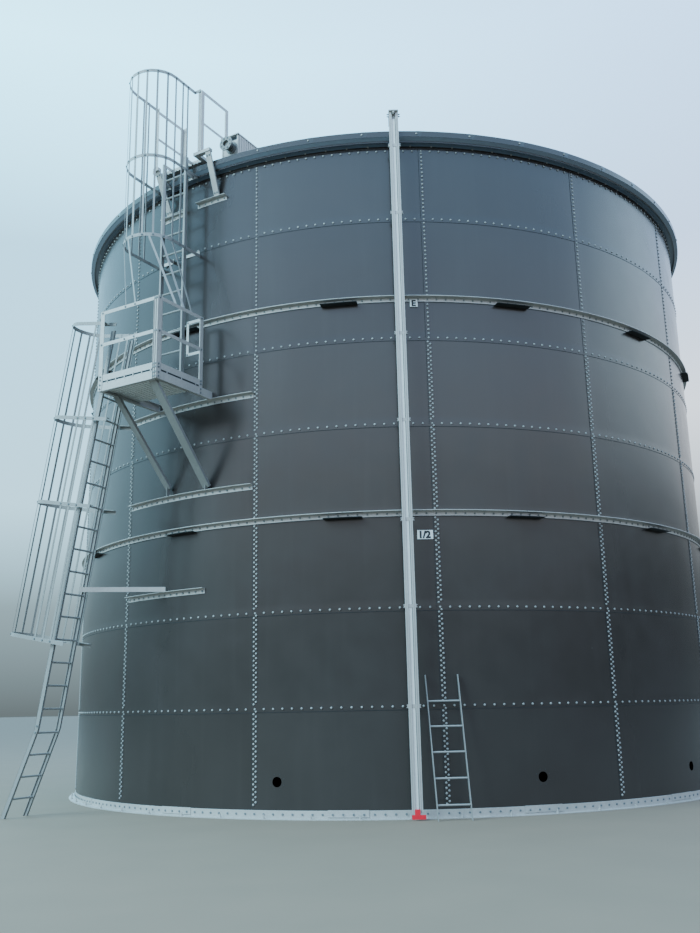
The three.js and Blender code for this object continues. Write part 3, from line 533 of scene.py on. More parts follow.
def bar(outline: Sequence[Pair], start: Sequence[float], end: Sequence[float],
        side: Sequence[float], level: bool = False) -> Shape:
    """An outline carried along a straight line.

    Args:
        outline: offsets along the side direction and square to it, counterclockwise seen from the end.
        start: where the line starts.
        end: where the line ends.
        side: the direction of the outline's first axis, made square to the line.
        level: the ends are cut level instead of square.

    Returns:
        The capped bar.
    """
    a, b = np.array(start, float), np.array(end, float)
    along = (b - a) / np.linalg.norm(b - a)
    across = np.array(side, float) - along * np.dot(side, along)
    across /= np.linalg.norm(across)
    up = np.cross(along, across)
    flat = np.array(outline)
    offset = flat[:, :1] * across + flat[:, 1:] * up
    if level:
        offset = offset - along * (offset[:, 2:] / along[2])
    count = len(flat)
    points = np.concatenate([a + offset, b + offset])
    sides = grid_quads(2, count, wrap_columns=True)
    ring = np.arange(count)
    return Shape(points, [sides, ring[None, ::-1], (ring + count)[None, :]])


def rectangle(width: float, height: float) -> list[Pair]:
    """The corners of a rectangle about its middle."""
    w, h = width / 2, height / 2
    return [(-w, -h), (w, -h), (w, h), (-w, h)]


def circle(radius: float, sides: int, flutes: int = 0, depth: float = 0.0) -> list[Pair]:
    """A round outline, its radius rising and falling with a cosine where it has flutes."""
    angle = np.linspace(0, 2 * np.pi, sides, endpoint=False)
    reach = radius - depth * (0.5 - 0.5 * np.cos(flutes * angle))
    return list(zip(reach * np.cos(angle), reach * np.sin(angle)))


def box(low: Sequence[float], high: Sequence[float]) -> Shape:
    """A block between two corners."""
    middle = [(low[0] + high[0]) / 2, (low[1] + high[1]) / 2]
    outline = rectangle(high[0] - low[0], high[1] - low[1])
    return bar(outline, (*middle, low[2]), (*middle, high[2]), (1, 0, 0))


def button(rings: Sequence[Pair], sides: int) -> Shape:
    """A round head: rings of points of a radius at a height along the first axis' normal, closed at the top.

    Args:
        rings: radius and height of each ring, the lowest first.
        sides: points in each ring.

    Returns:
        The head, standing on the plane of the first two axes.
    """
    angle = np.linspace(0, 2 * np.pi, sides, endpoint=False)
    layers = [np.stack([r * np.cos(angle), r * np.sin(angle), np.full(sides, h)], -1) for r, h in rings]
    count = len(rings)
    faces = [grid_quads(count, sides, wrap_columns=True)]
    faces.append((np.arange(sides) + (count - 1) * sides)[None, :])
    faces.append(np.arange(sides)[None, ::-1])
    return Shape(np.concatenate(layers), faces)


CAP_BOLT = button([(0.0145, 0.0), (0.0145, 0.005), (0.0115, 0.0095), (0.005, 0.012)], 8)
HEX_BOLT = button([(0.0135, 0.0), (0.0135, 0.008), (0.0115, 0.0095)], 6)
RIVET = button([(0.008, 0.0), (0.0065, 0.0035)], 8)
BOLT_HOLE = button([(0.0075, 0.0), (0.006, 0.0006)], 10)
ANCHOR = button([(0.026, 0.0), (0.026, 0.004), (0.016, 0.0041), (0.016, 0.020), (0.008, 0.0201),
                 (0.008, 0.048)], 8)


def facing(directions: np.ndarray, up: Sequence[float] = (0, 0, 1)) -> np.ndarray:
    """Frames whose third axis points along each direction.

    Args:
        directions: the directions, of any length.
        up: the rough direction of the second axis.

    Returns:
        For each direction three rows: sideways, upwards and outwards.
    """
    out = directions / np.linalg.norm(directions, axis=1, keepdims=True)
    side = np.cross(np.broadcast_to(np.array(up, float), out.shape), out)
    side /= np.linalg.norm(side, axis=1, keepdims=True)
    return np.stack([side, np.cross(out, side), out], 1)


def studs(head: Shape, azimuths: np.ndarray, heights: np.ndarray, radius: float) -> Shape:
    """Heads that stand on a cylinder, each facing outwards.

    Args:
        head: the form of one head.
        azimuths: an angle for each head.
        heights: a height for each head.
        radius: the cylinder's radius.

    Returns:
        All the heads as one form.
    """
    azimuths, heights = np.broadcast_arrays(azimuths, heights)
    return head.repeated(around(radius, azimuths, heights), facing(around(1.0, azimuths, 0.0)))


def heads(head: Shape, place: Place, spots: Sequence[Sequence[float]], direction: Sequence[float],
          up: Sequence[float] = (0, 0, 1)) -> Shape:
    """Heads at points of a local frame that all face one way.

    Args:
        head: the form of one head.
        place: the local frame.
        spots: a point for each head.
        direction: the way they face, in the local frame.
        up: the rough direction of their second axis, in the tank's frame.

    Returns:
        All the heads as one form.
    """
    points = place.points(np.array(spots, float).reshape(-1, 3))
    out = place.directions(np.array([direction], float))
    return head.repeated(points, np.repeat(facing(out, up), len(points), 0))


class Piece:
    """One object of the scene, gathered form by form."""

    def __init__(self, name: str, finish: Material, crease: float = 34.0) -> None:
        """Starts an empty piece.

        Args:
            name: the object's name.
            finish: its usual material.
            crease: edges that turn by more degrees than this stay sharp.
        """
        self.name = name
        self.finishes = [finish]
        self.crease = crease
        self.points: list[np.ndarray] = []
        self.faces: list[np.ndarray] = []
        self.index: list[np.ndarray] = []
        self.tones: list[np.ndarray] = []
        self.size = 0

    def add(self, shape: Shape, *finishes: Material, tone: float = 0.0) -> None:
        """Adds a form.

        Args:
            shape: the form.
            finishes: its material, or one for each of its blocks of faces, or none for the usual one.
            tone: how dusty it is, from 0 to 1.
        """
        self.points.append(shape.points)
        self.tones.append(np.full(len(shape.points), tone))
        chosen = finishes or (self.finishes[0],)
        if len(chosen) == 1:
            chosen = chosen * len(shape.faces)
        for faces, finish in zip(shape.faces, chosen):
            if finish not in self.finishes:
                self.finishes.append(finish)
            self.faces.append(faces + self.size)
            self.index.append(np.full(len(faces), self.finishes.index(finish)))
        self.size += len(shape.points)

    def build(self, body: str, slot: Slot, *replaced: str) -> None:
        """Writes the mesh and puts the piece on its body.

        Args:
            body: the CAD body that it moves with.
            slot: the record slot of its finish; not used.
            replaced: the CAD nodes that it stands for.
        """
        mesh = bpy.data.meshes.new(self.name)
        points = np.concatenate(self.points).astype(np.float32)
        corners = np.concatenate([f.ravel() for f in self.faces]).astype(np.int32)
        sizes = np.concatenate([np.full(len(f), f.shape[1]) for f in self.faces])
        starts = np.concatenate([[0], np.cumsum(sizes)[:-1]]).astype(np.int32)
        mesh.vertices.add(len(points))
        mesh.vertices.foreach_set("co", points.ravel())
        mesh.loops.add(len(corners))
        mesh.loops.foreach_set("vertex_index", corners)
        mesh.polygons.add(len(sizes))
        mesh.polygons.foreach_set("loop_start", starts)
        for material in self.finishes:
            mesh.materials.append(material)
        mesh.polygons.foreach_set("material_index", np.concatenate(self.index).astype(np.int32))
        tone = mesh.attributes.new("tone", "FLOAT", "POINT")
        tone.data.foreach_set("value", np.concatenate(self.tones).astype(np.float32))
        mesh.update(calc_edges=True)
        mesh.validate()
        mesh.shade_smooth()
        mesh.set_sharp_from_angle(angle=math.radians(self.crease))
        thing = bpy.data.objects.new(self.name, mesh)
        bpy.context.scene.collection.objects.link(thing)
        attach(thing, body)
        if replaced:
            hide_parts(*replaced)
        LOG.info("%s: %d points, %d faces, rides on %s", self.name, len(points), len(sizes), body)


@dataclass
class PanelWall:
    """The wall: courses of curved panels, each lapped over its left and lower neighbour."""

    finishes: Finishes
    seed: int = 11
    dust: Pair = (0.0, 0.9)
    seams: tuple[float, ...] = (1.3, 2.5, 3.7, 4.9, 6.1, 6.655, 7.855)
    double_columns_top: float = 6.1
    foot: float = 0.1
    overlap: float = 0.038
    lap_blend: float = 0.15
    lap_lines: int = 5
    hole_lines: int = 9
    line_gap: float = 0.01
    grid_steps: Pair = (0.1, 0.3)
    steel: float = 0.0027
    bead: float = 0.0065
    bead_root: float = 0.001
    bead_share: float = 0.8
    bead_sections: int = 25
    bolt_seat: float = 0.0006
    column_pitch: float = 0.06
    column_half_gap: float = 0.016
    column_end: float = 0.03
    ring_clear: float = 0.045
    top_row: float = 8.912
    hole_azimuths: tuple[float, ...] = (-15.94, 19.59, 49.02)
    hole_height: float = 0.43
    hole_radius: float = 0.0625
    hole_margin: float = 0.12
    hole_bolts: int = 8
    hole_bolt_circle: float = 0.095
    hole_sunk: float = 0.0001
    top: float = field(init=False)

    def __post_init__(self) -> None:
        """Reads the wall's top from the solids."""
        self.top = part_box("shell_strip_01")[1].z

    def build(self) -> None:
        """Makes the panels of each strip, the sealant and the bolts."""
        edges = (0.0, *self.seams, self.top)
        random = np.random.default_rng(self.seed)
        for strip in range(PANELS_ROUND):
            name = f"shell_strip_{strip + 1:02d}"
            piece = Piece(f"panels_{strip + 1:02d}", self.finishes.coating)
            for low, high in zip(edges[:-1], edges[1:]):
                piece.add(self.panel(strip, low, high), tone=float(random.uniform(*self.dust)))
            self.add_sealant(piece, strip, edges)
            piece.build(TANK, Slot.COATING, name)
        self.build_bolts()

    def lines(self, length: float, spacing: float, hole: float | None) -> np.ndarray:
        """Grid lines along one side of a panel: close in the lap, then even, and close over a hole.

        Args:
            length: the side's length.
            spacing: the usual step.
            hole: the hole's middle along this side, if the panel has one.

        Returns:
            Distances from the lapped edge.
        """
        near = np.linspace(0.0, self.lap_blend, self.lap_lines)
        count = max(2, round((length - self.lap_blend) / spacing))
        lines = np.concatenate([near, np.linspace(self.lap_blend, length, count + 1)[1:]])
        if hole is None:
            return lines
        low, high = hole - self.hole_margin, hole + self.hole_margin
        kept = lines[(lines < low - self.line_gap) | (lines > high + self.line_gap)]
        return np.sort(np.concatenate([kept, np.linspace(low, high, self.hole_lines)]))

    def panel(self, strip: int, low: float, high: float) -> Shape:
        """One panel, pressed outwards by a sheet's step along its left and lower laps.

        Args:
            strip: the panel's place round the tank.
            low: the seam under it.
            high: the seam over it.

        Returns:
            The closed sheet. Its radius is the wall's, plus the step times one less the smooth step of the
            distance from each lapped edge. A nozzle hole is a block of faces drawn together to a circle.
        """
        start = FIRST_SEAM + strip * PANEL_ANGLE - self.overlap / RADIUS
        bottom = low - (self.overlap if low > 0 else 0.0)
        width = PANEL_WIDTH + 2 * self.overlap
        height = min(high + self.overlap, self.top) - bottom
        hole = None
        for degrees in self.hole_azimuths:
            across = (math.radians(degrees) - start) * RADIUS
            if low == 0.0 and self.overlap < across < width - self.overlap:
                hole = (across, self.hole_height - bottom)
        u = self.lines(width, self.grid_steps[0], hole[0] if hole else None)
        v = self.lines(height, self.grid_steps[1], hole[1] if hole else None)
        across, up = np.meshgrid(u, v)
        drawn = [across, up]
        if hole:
            drawn = self.drawn_to_hole(across, up, hole)
        step = SHEET_STEP * (1 - ease(across / self.lap_blend))
        if low > 0:
            step = step + SHEET_STEP * (1 - ease(up / self.lap_blend))
        outer = around(RADIUS + step, start + drawn[0] / RADIUS, bottom + drawn[1])
        inner = around(RADIUS + step - self.steel, start + drawn[0] / RADIUS, bottom + drawn[1])
        body = sheet(outer, inner)
        if hole:
            body = self.with_hole(body, u, v, hole)
        return body

    def drawn_to_hole(self, across: np.ndarray, up: np.ndarray, hole: Pair) -> list[np.ndarray]:
        """Moves the grid round a hole so that one square of lines becomes the hole's circle.

        Args:
            across: distances along the panel.
            up: distances up the panel.
            hole: the hole's middle.

        Returns:
            Both distances after the move: within the margin, a point keeps its direction from the middle and
            its square ring, half the margin wide at the hole, turns into a circle of the hole's radius.
        """
        x, y = across - hole[0], up - hole[1]
        margin, half, hair = self.hole_margin, self.hole_margin / 2, 1e-9
        ring = np.maximum(np.abs(x), np.abs(y))
        reach = np.hypot(x, y) + 1e-12
        outward = ease((ring - half) / (margin - half))
        round_reach = self.hole_radius + (margin - self.hole_radius) * (ring - half) / (margin - half)
        target = np.where(ring <= half + hair, self.hole_radius * ring / half,
                          round_reach * (1 - outward) + reach * outward)
        factor = np.where(ring < margin - hair, target / reach, 1.0)
        return [hole[0] + x * factor, hole[1] + y * factor]

    def with_hole(self, body: Shape, u: np.ndarray, v: np.ndarray, hole: Pair) -> Shape:
        """Opens a panel at its hole and walls the opening.

        Args:
            body: the closed panel.
            u: its lines across.
            v: its lines up.
            hole: the hole's middle.

        Returns:
            The panel without the faces inside the circle, and with a wall between its two faces there.
        """
        half = self.hole_margin / 2
        inside_u = np.abs((u[:-1] + u[1:]) / 2 - hole[0]) < half
        inside_v = np.abs((v[:-1] + v[1:]) / 2 - hole[1]) < half
        keep = ~(inside_v[:, None] & inside_u[None, :]).ravel()
        i0, i1 = np.flatnonzero(inside_u)[[0, -1]] + [0, 1]
        j0, j1 = np.flatnonzero(inside_v)[[0, -1]] + [0, 1]
        size = len(v) * len(u)
        number = np.arange(size).reshape(len(v), len(u))
        loop = np.concatenate([number[j0, i0:i1], number[j0:j1, i1], number[j1, i1:i0:-1],
                               number[j1:j0:-1, i0]])
        after = np.roll(loop, -1)
        wall = np.stack([loop, after, after + size, loop + size], -1)
        faces = [body.faces[0][keep], body.faces[1][keep], body.faces[2], wall]
        used = np.zeros(len(body.points), bool)
        for block in faces:
            used[block.ravel()] = True
        renumber = np.cumsum(used) - 1
        return Shape(body.points[used], [renumber[block] for block in faces])

    def add_sealant(self, piece: Piece, strip: int, edges: Sequence[float]) -> None:
        """Adds the dark bead that shows along the lapped edges.

        Args:
            piece: the strip's piece.
            strip: its place round the tank.
            edges: the heights between which the courses lie.
        """
        start = FIRST_SEAM + strip * PANEL_ANGLE - self.overlap / RADIUS
        root, proud = RADIUS - self.bead_root, RADIUS + SHEET_STEP * self.bead_share
        upright = start + np.array([-self.bead, 0.0]) / RADIUS
        piece.add(rolled(band(root, self.foot, proud, self.top), upright, False), self.finishes.sealant_and_shade_black)
        turn = np.linspace(start, start + PANEL_ANGLE, self.bead_sections)
        for z in edges[1:-1]:
            high = z - self.overlap
            piece.add(rolled(band(root, high - self.bead, proud, high), turn, False), self.finishes.sealant_and_shade_black)

    def build_bolts(self) -> None:
        """Makes the level bolt rows, the upright ones and the bolt holes round the nozzle holes."""
        outside = RADIUS + SHEET_STEP
        per_ring = PANELS_ROUND * BOLTS_PER_PANEL
        turn = FIRST_SEAM + np.arange(per_ring) * 2 * np.pi / per_ring
        piece = Piece("seam_bolts_level", self.finishes.cap)
        for z in (*(z for z in self.seams if z not in STIFFENER_SEAMS), self.top_row):
            piece.add(studs(CAP_BOLT, turn, z, outside))
        piece.build(TANK, Slot.GALVANISED)
        self.build_columns(outside + self.bolt_seat)
        self.build_nozzle_marks()

    def column(self, bottom: float, top: float, first: float = 1.0) -> np.ndarray:
        """Heights of an upright row between two seams, clear of the stiffening rings.

        Args:
            bottom: the seam under it.
            top: the seam over it.
            first: the first bolt's place, in pitches over the seam.

        Returns:
            The heights.
        """
        z = np.arange(bottom + first * self.column_pitch, top - self.column_end, self.column_pitch)
        for ring in STIFFENER_SEAMS:
            z = z[np.abs(z - ring) > self.ring_clear]
        return z

    def build_columns(self, seat: float) -> None:
        """The upright rows: two staggered ones along each seam up to a height, one over it.

        Args:
            seat: the radius that the bolts stand on.
        """
        low = Piece("seam_bolts_upright_low", self.finishes.cap)
        high = Piece("seam_bolts_upright_high", self.finishes.cap)
        lower = (self.foot, *(z for z in self.seams if z <= self.double_columns_top))
        upper = (*(z for z in self.seams if z >= self.double_columns_top), self.top_row)
        for strip in range(PANELS_ROUND):
            seam = FIRST_SEAM + strip * PANEL_ANGLE
            for bottom, top in zip(lower[:-1], lower[1:]):
                for side, first in ((-1, 1.0), (1, 1.5)):
                    turn = seam + side * self.column_half_gap / RADIUS
                    low.add(studs(CAP_BOLT, turn, self.column(bottom, top, first), seat))
            for bottom, top in zip(upper[:-1], upper[1:]):
                high.add(studs(CAP_BOLT, seam, self.column(bottom, top), seat))
        low.build(TANK, Slot.GALVANISED)
        high.build(TANK, Slot.GALVANISED)

    def build_nozzle_marks(self) -> None:
        """Dark discs in a circle round each nozzle hole: painted shade standing in for the empty bolt holes.
        """
        marks = Piece("nozzle_bolt_holes", self.finishes.sealant_and_shade_black)
        ring = np.arange(self.hole_bolts) * 2 * np.pi / self.hole_bolts + np.pi / self.hole_bolts
        heights = self.hole_height + self.hole_bolt_circle * np.cos(ring)
        for degrees in self.hole_azimuths:
            turn = math.radians(degrees) + self.hole_bolt_circle * np.sin(ring) / RADIUS
            marks.add(studs(BOLT_HOLE, turn, heights, RADIUS - self.hole_sunk))
        marks.build(TANK, Slot.COATING)


@dataclass
class RolledRings:
    """Base angle, two stiffeners and the eave angle, with their bolts, splices and anchors."""

    finishes: Finishes
    leg: float = 0.07
    outreach: float = 0.072
    steel: float = 0.008
    edge: float = 0.0015
    seat: float = 0.0003
    sections: int = 336
    bolt_pitch: float = PANEL_WIDTH / BOLTS_PER_PANEL
    bolt_drop: float = 0.004
    splice_length: float = 0.5
    splice_sections: int = 7
    splice_steel: float = 0.006
    shelf_seat: float = 0.001
    shelf_reach: float = 0.1
    shelf_under: Pair = (0.009, 0.002)
    joint_half: float = 0.003
    joint_proud: float = 0.0004
    base_leg: float = 0.1
    base_bolts: float = 0.056
    base_plate: Pair = (0.024, 0.106)
    base_plate_steel: float = 0.007
    base_shadow: Pair = (0.0025, 0.0015)
    anchor_pitch: float = 0.6
    anchor_reach: float = 0.062
    eave_leg: float = 0.04
    eave_pitch: float = 0.3
    lip: float = 5.44
    lip_bottom: float = 8.995
    cover_reach: Pair = (5.4405, 5.4955)
    cover_heights: Triple = (9.020, 9.050, 9.054)

    def build(self) -> None:
        """Makes each ring with what is bolted to it."""
        self.build_base()
        for name, seam in zip(("lower_stiffener", "upper_stiffener"), STIFFENER_SEAMS):
            self.build_stiffener(name, seam)
        self.build_eave()

    def whole(self) -> np.ndarray:
        """Angles of a whole ring's sections."""
        return np.linspace(0, 2 * np.pi, self.sections, endpoint=False)

    def row(self, pitch: float, shift: float = 0.5) -> np.ndarray:
        """Angles of a row of bolts that fits whole numbers into each panel.

        Args:
            pitch: the rough distance between bolts.
            shift: the first bolt's place, in steps from the seam.

        Returns:
            The angles.
        """
        count = PANELS_ROUND * round(PANEL_WIDTH / pitch)
        return FIRST_SEAM + (np.arange(count) + shift) * 2 * np.pi / count

    def middles(self) -> np.ndarray:
        """Angles of the panels' middles, where the rings are spliced."""
        return FIRST_SEAM + (np.arange(PANELS_ROUND) + 0.5) * PANEL_ANGLE

    def splice(self, middle: float) -> np.ndarray:
        """Angles of a splice plate's sections about its middle."""
        half = self.splice_length / 2
        return middle + np.linspace(-half, half, self.splice_sections) / RADIUS

    def on_splice(self, turn: np.ndarray, middle: float) -> np.ndarray:
        """The angles of a row that lie on a splice plate."""
        return turn[np.abs(turn - middle) < self.splice_length / 2 / RADIUS]

    def build_base(self) -> None:
        """The base angle with its bolts, splice plates and anchors."""
        inner, steel, leg, edge = RADIUS + self.seat, self.steel, self.base_leg, self.edge
        face, dark = inner + steel, self.finishes.dark_bolt
        profile = [(inner, 0.0), (inner + leg, 0.0), (inner + leg, steel), (face, steel), (face, leg - edge),
                   (face - edge, leg), (inner, leg)]
        piece = Piece("base_ring", self.finishes.zinc)
        piece.add(rolled(profile, self.whole(), True))
        turn = self.row(self.bolt_pitch, 0.0)
        piece.add(studs(HEX_BOLT, turn, self.base_bolts, face), dark)
        low, high = self.base_plate
        drop, proud = self.base_shadow
        outer = face + self.base_plate_steel
        for middle in self.middles():
            arc = self.splice(middle)
            piece.add(rolled(band(face, low, outer, high), arc, False))
            # A near-black strip under each splice plate: painted shadow.
            piece.add(rolled(band(face, low - drop, face + proud, low), arc, False), self.finishes.sealant_and_shade_black)
            piece.add(studs(HEX_BOLT, self.on_splice(turn, middle), self.base_bolts, outer), dark)
        feet = self.row(self.anchor_pitch, 0.25)
        upright = np.repeat(np.eye(3)[None], len(feet), 0)
        piece.add(ANCHOR.repeated(around(inner + self.anchor_reach, feet, steel), upright))
        piece.build(TANK, Slot.GALVANISED, "base_angle")

    def build_stiffener(self, name: str, seam: float) -> None:
        """One stiffening ring with its splice plates, and a near-black shelf under each of them: painted
        shade under the ring's splice.

        Args:
            name: the CAD node that it stands for.
            seam: the height of its bolts.
        """
        inner, steel, edge, dark = RADIUS + self.seat, self.steel, self.edge, self.finishes.dark_bolt
        top = seam + self.leg / 2
        bottom = top - self.leg
        face, reach = inner + steel, inner + self.outreach
        profile = [(inner, bottom), (face - edge, bottom), (face, bottom + edge), (face, top - steel),
                   (reach, top - steel), (reach, top - edge), (reach - edge, top), (inner, top)]
        piece = Piece(name + "_ring", self.finishes.zinc)
        piece.add(rolled(profile, self.whole(), True))
        turn = self.row(self.bolt_pitch, 0.0)
        level = seam - self.bolt_drop
        piece.add(studs(HEX_BOLT, turn, level, face), dark)
        plate = face + self.splice_steel
        under, over = (bottom - drop for drop in self.shelf_under)
        # The near-black shelf is painted shade under the splice.
        shelf = band(inner + self.shelf_seat, under, inner + self.shelf_reach, over)
        joint = band(reach, top - steel, reach + self.joint_proud, top)
        for middle in self.middles():
            arc = self.splice(middle)
            piece.add(rolled(band(face, over, plate, top - steel - self.splice_steel), arc, False))
            piece.add(rolled(shelf, arc, False), self.finishes.sealant_and_shade_black)
            piece.add(studs(HEX_BOLT, self.on_splice(turn, middle), level, plate), dark)
            cut = middle + np.array([-self.joint_half, self.joint_half]) / RADIUS
            piece.add(rolled(joint, cut, False), self.finishes.sealant_and_shade_black)
        piece.build(TANK, Slot.GALVANISED, name)

    def build_eave(self) -> None:
        """The eave angle under the rim: bolted leg, flange and lip, and the slanted cover strip outside. The
        upper leg, the flange and the cover strip take the lighter coating copy, painted light in their shade.
        """
        inner, steel = RADIUS + self.seat, self.steel
        low, high = (corner.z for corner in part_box("eave_angle"))
        face, knee, under = inner + steel, low + self.eave_leg, high - steel
        start, end = self.cover_reach
        foot, rise, top = self.cover_heights
        coating, painted_light_coating = self.finishes.coating, self.finishes.painted_light_coating
        piece = Piece("eave_ring", coating)
        for profile, finish in ((band(inner, low, face, knee), coating),
                                (band(inner, knee, face, under), painted_light_coating),
                                (band(inner, under, self.lip - steel, high), painted_light_coating),
                                (band(self.lip - steel, self.lip_bottom, self.lip, high), coating),
                                ([(start, foot), (end, rise), (end, top), (start, top)], painted_light_coating)):
            piece.add(rolled(profile, self.whole(), True), finish)
        piece.add(studs(HEX_BOLT, self.row(self.eave_pitch), knee, face), self.finishes.cap)
        piece.build(TANK, Slot.COATING, "eave_angle")


@dataclass
class SheetRoof:
    """The cone roof: wedge sheets with lapped edges, folded down at the rim, and the centre cap."""

    finishes: Finishes
    seed: int = 5
    dust: Pair = (0.1, 0.8)
    cap_dust: float = 0.4
    sheets: int = 45
    first_joint: float = math.radians(-18.4)
    rim: float = 5.5
    hole: float = 0.3
    rim_top: float = 9.14
    rim_drop: float = 0.09
    steel: float = 0.003
    slope: float = math.tan(math.radians(10))
    lap: float = 0.03
    blend_angle: float = 0.03
    lap_lines: tuple[float, ...] = (0.0, 0.006, 0.013, 0.02)
    even_lines: int = 10
    fold_pull: float = 0.4
    bolt_reach: Triple = (0.55, 5.45, 0.30)
    bolt_inset: float = 0.004
    seat_share: float = 0.95
    rim_bolt_inset: float = 0.012
    rim_bolt_drop: float = 0.045
    rim_bolt_sunk: float = 0.0006
    cap_profile: tuple[Pair, ...] = (
        (0.42, 0.0), (0.42, 0.008), (0.40, 0.012), (0.24, 0.045), (0.10, 0.060))
    cap_tip: float = 0.02
    cap_seat: float = 0.0003
    cap_sides: int = 56
    cap_bolts: int = 28
    cap_bolt_circle: float = 0.375
    cap_bolt_rise: float = 0.0165

    def height(self, radius: Numbers) -> Numbers:
        """The sheet's upper face at a radius: it rises evenly towards the axis."""
        return self.rim_top + (self.rim - radius) * self.slope

    def build(self) -> None:
        """Makes the sheets, their seam bolts and the cap."""
        coating, painted_light_coating = self.finishes.coating, self.finishes.painted_light_coating
        piece = Piece("roof_sheeting", coating)
        turn = 2 * np.pi / self.sheets
        random = np.random.default_rng(self.seed)
        for number in range(self.sheets):
            wedge = self.wedge(self.first_joint + number * turn, turn)
            # The sheets' undersides take the lighter coating copy: painted light under the rim.
            piece.add(wedge, coating, painted_light_coating, coating, tone=float(random.uniform(*self.dust)))
        piece.build(TANK, Slot.COATING, "roof_sheets")
        bolts = Piece("roof_bolts", self.finishes.cap)
        joints = self.first_joint + np.arange(self.sheets) * turn
        radius, azimuth = (m.ravel() for m in np.meshgrid(np.arange(*self.bolt_reach), joints))
        azimuth = azimuth + self.bolt_inset / radius
        places = around(radius, azimuth, self.height(radius) + self.steel * self.seat_share)
        normals = around(np.full_like(radius, self.slope), azimuth, 1.0)
        bolts.add(CAP_BOLT.repeated(places, facing(normals, (1, 0, 0))))
        rim_row = joints + self.rim_bolt_inset / self.rim
        bolts.add(studs(CAP_BOLT, rim_row, self.rim_top - self.rim_bolt_drop, self.rim - self.rim_bolt_sunk))
        bolts.build(TANK, Slot.GALVANISED)
        self.build_cap()

    def wedge(self, start: float, turn: float) -> Shape:
        """One wedge sheet with its fold at the rim.

        Args:
            start: the angle of its lapped edge.
            turn: the angle between two joints.

        Returns:
            The closed sheet. It lies in the cone, stands proud by its own thickness at the lapped edge and
            eases down to the cone within the blend angle. At the rim it turns down through two rows.
        """
        steel, rim, blend = self.steel, self.rim, self.blend_angle
        end = turn + self.lap / rim
        even = np.linspace(blend, end, self.even_lines)
        u = np.concatenate([self.lap_lines, even])
        # Each row has its radius, its drop under the cone, how much of the lapped edge's step it keeps, and
        # how far its inner face lies inwards and under the outer one.
        rows = [(reach, 0.0, 1.0, 0.0, steel) for reach in (self.hole, 1.2, 2.4, 3.6, 4.8, rim - 0.02)]
        rows += [(rim - 0.005, 0.001, 0.6, 0.0, steel), (rim, 0.006, 0.0, steel, steel),
                 (rim, self.rim_drop, 0.0, steel, 0.0)]
        radius, drop, level, inward, under = np.array(rows).T[:, :, None]
        proud = steel * (1 - ease(u / blend))
        rise = self.height(radius) - drop + proud * level
        pull = steel * self.fold_pull * (1 - level)
        outer = around(radius - pull * (1 - proud / steel), start + u, rise)
        inner = around(radius - inward - pull, start + u, rise - under)
        body = sheet(outer, inner)
        return Shape(body.points, [f[:, ::-1] for f in body.faces])

    def build_cap(self) -> None:
        """The shallow cap over the middle, with a ring of bolts."""
        seat = self.height(self.hole) + self.cap_seat
        rings = [(radius, seat + rise) for radius, rise in self.cap_profile]
        rings.append((self.cap_tip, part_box("roof_centre_cap")[1].z))
        piece = Piece("centre_cap", self.finishes.coating)
        piece.add(button(rings, self.cap_sides), tone=self.cap_dust)
        turn = np.arange(self.cap_bolts) * 2 * np.pi / self.cap_bolts
        places = around(self.cap_bolt_circle, turn, seat + self.cap_bolt_rise)
        upright = np.repeat(np.eye(3)[None], self.cap_bolts, 0)
        piece.add(CAP_BOLT.repeated(places, upright), self.finishes.cap)
        piece.build(TANK, Slot.COATING, "roof_centre_cap")


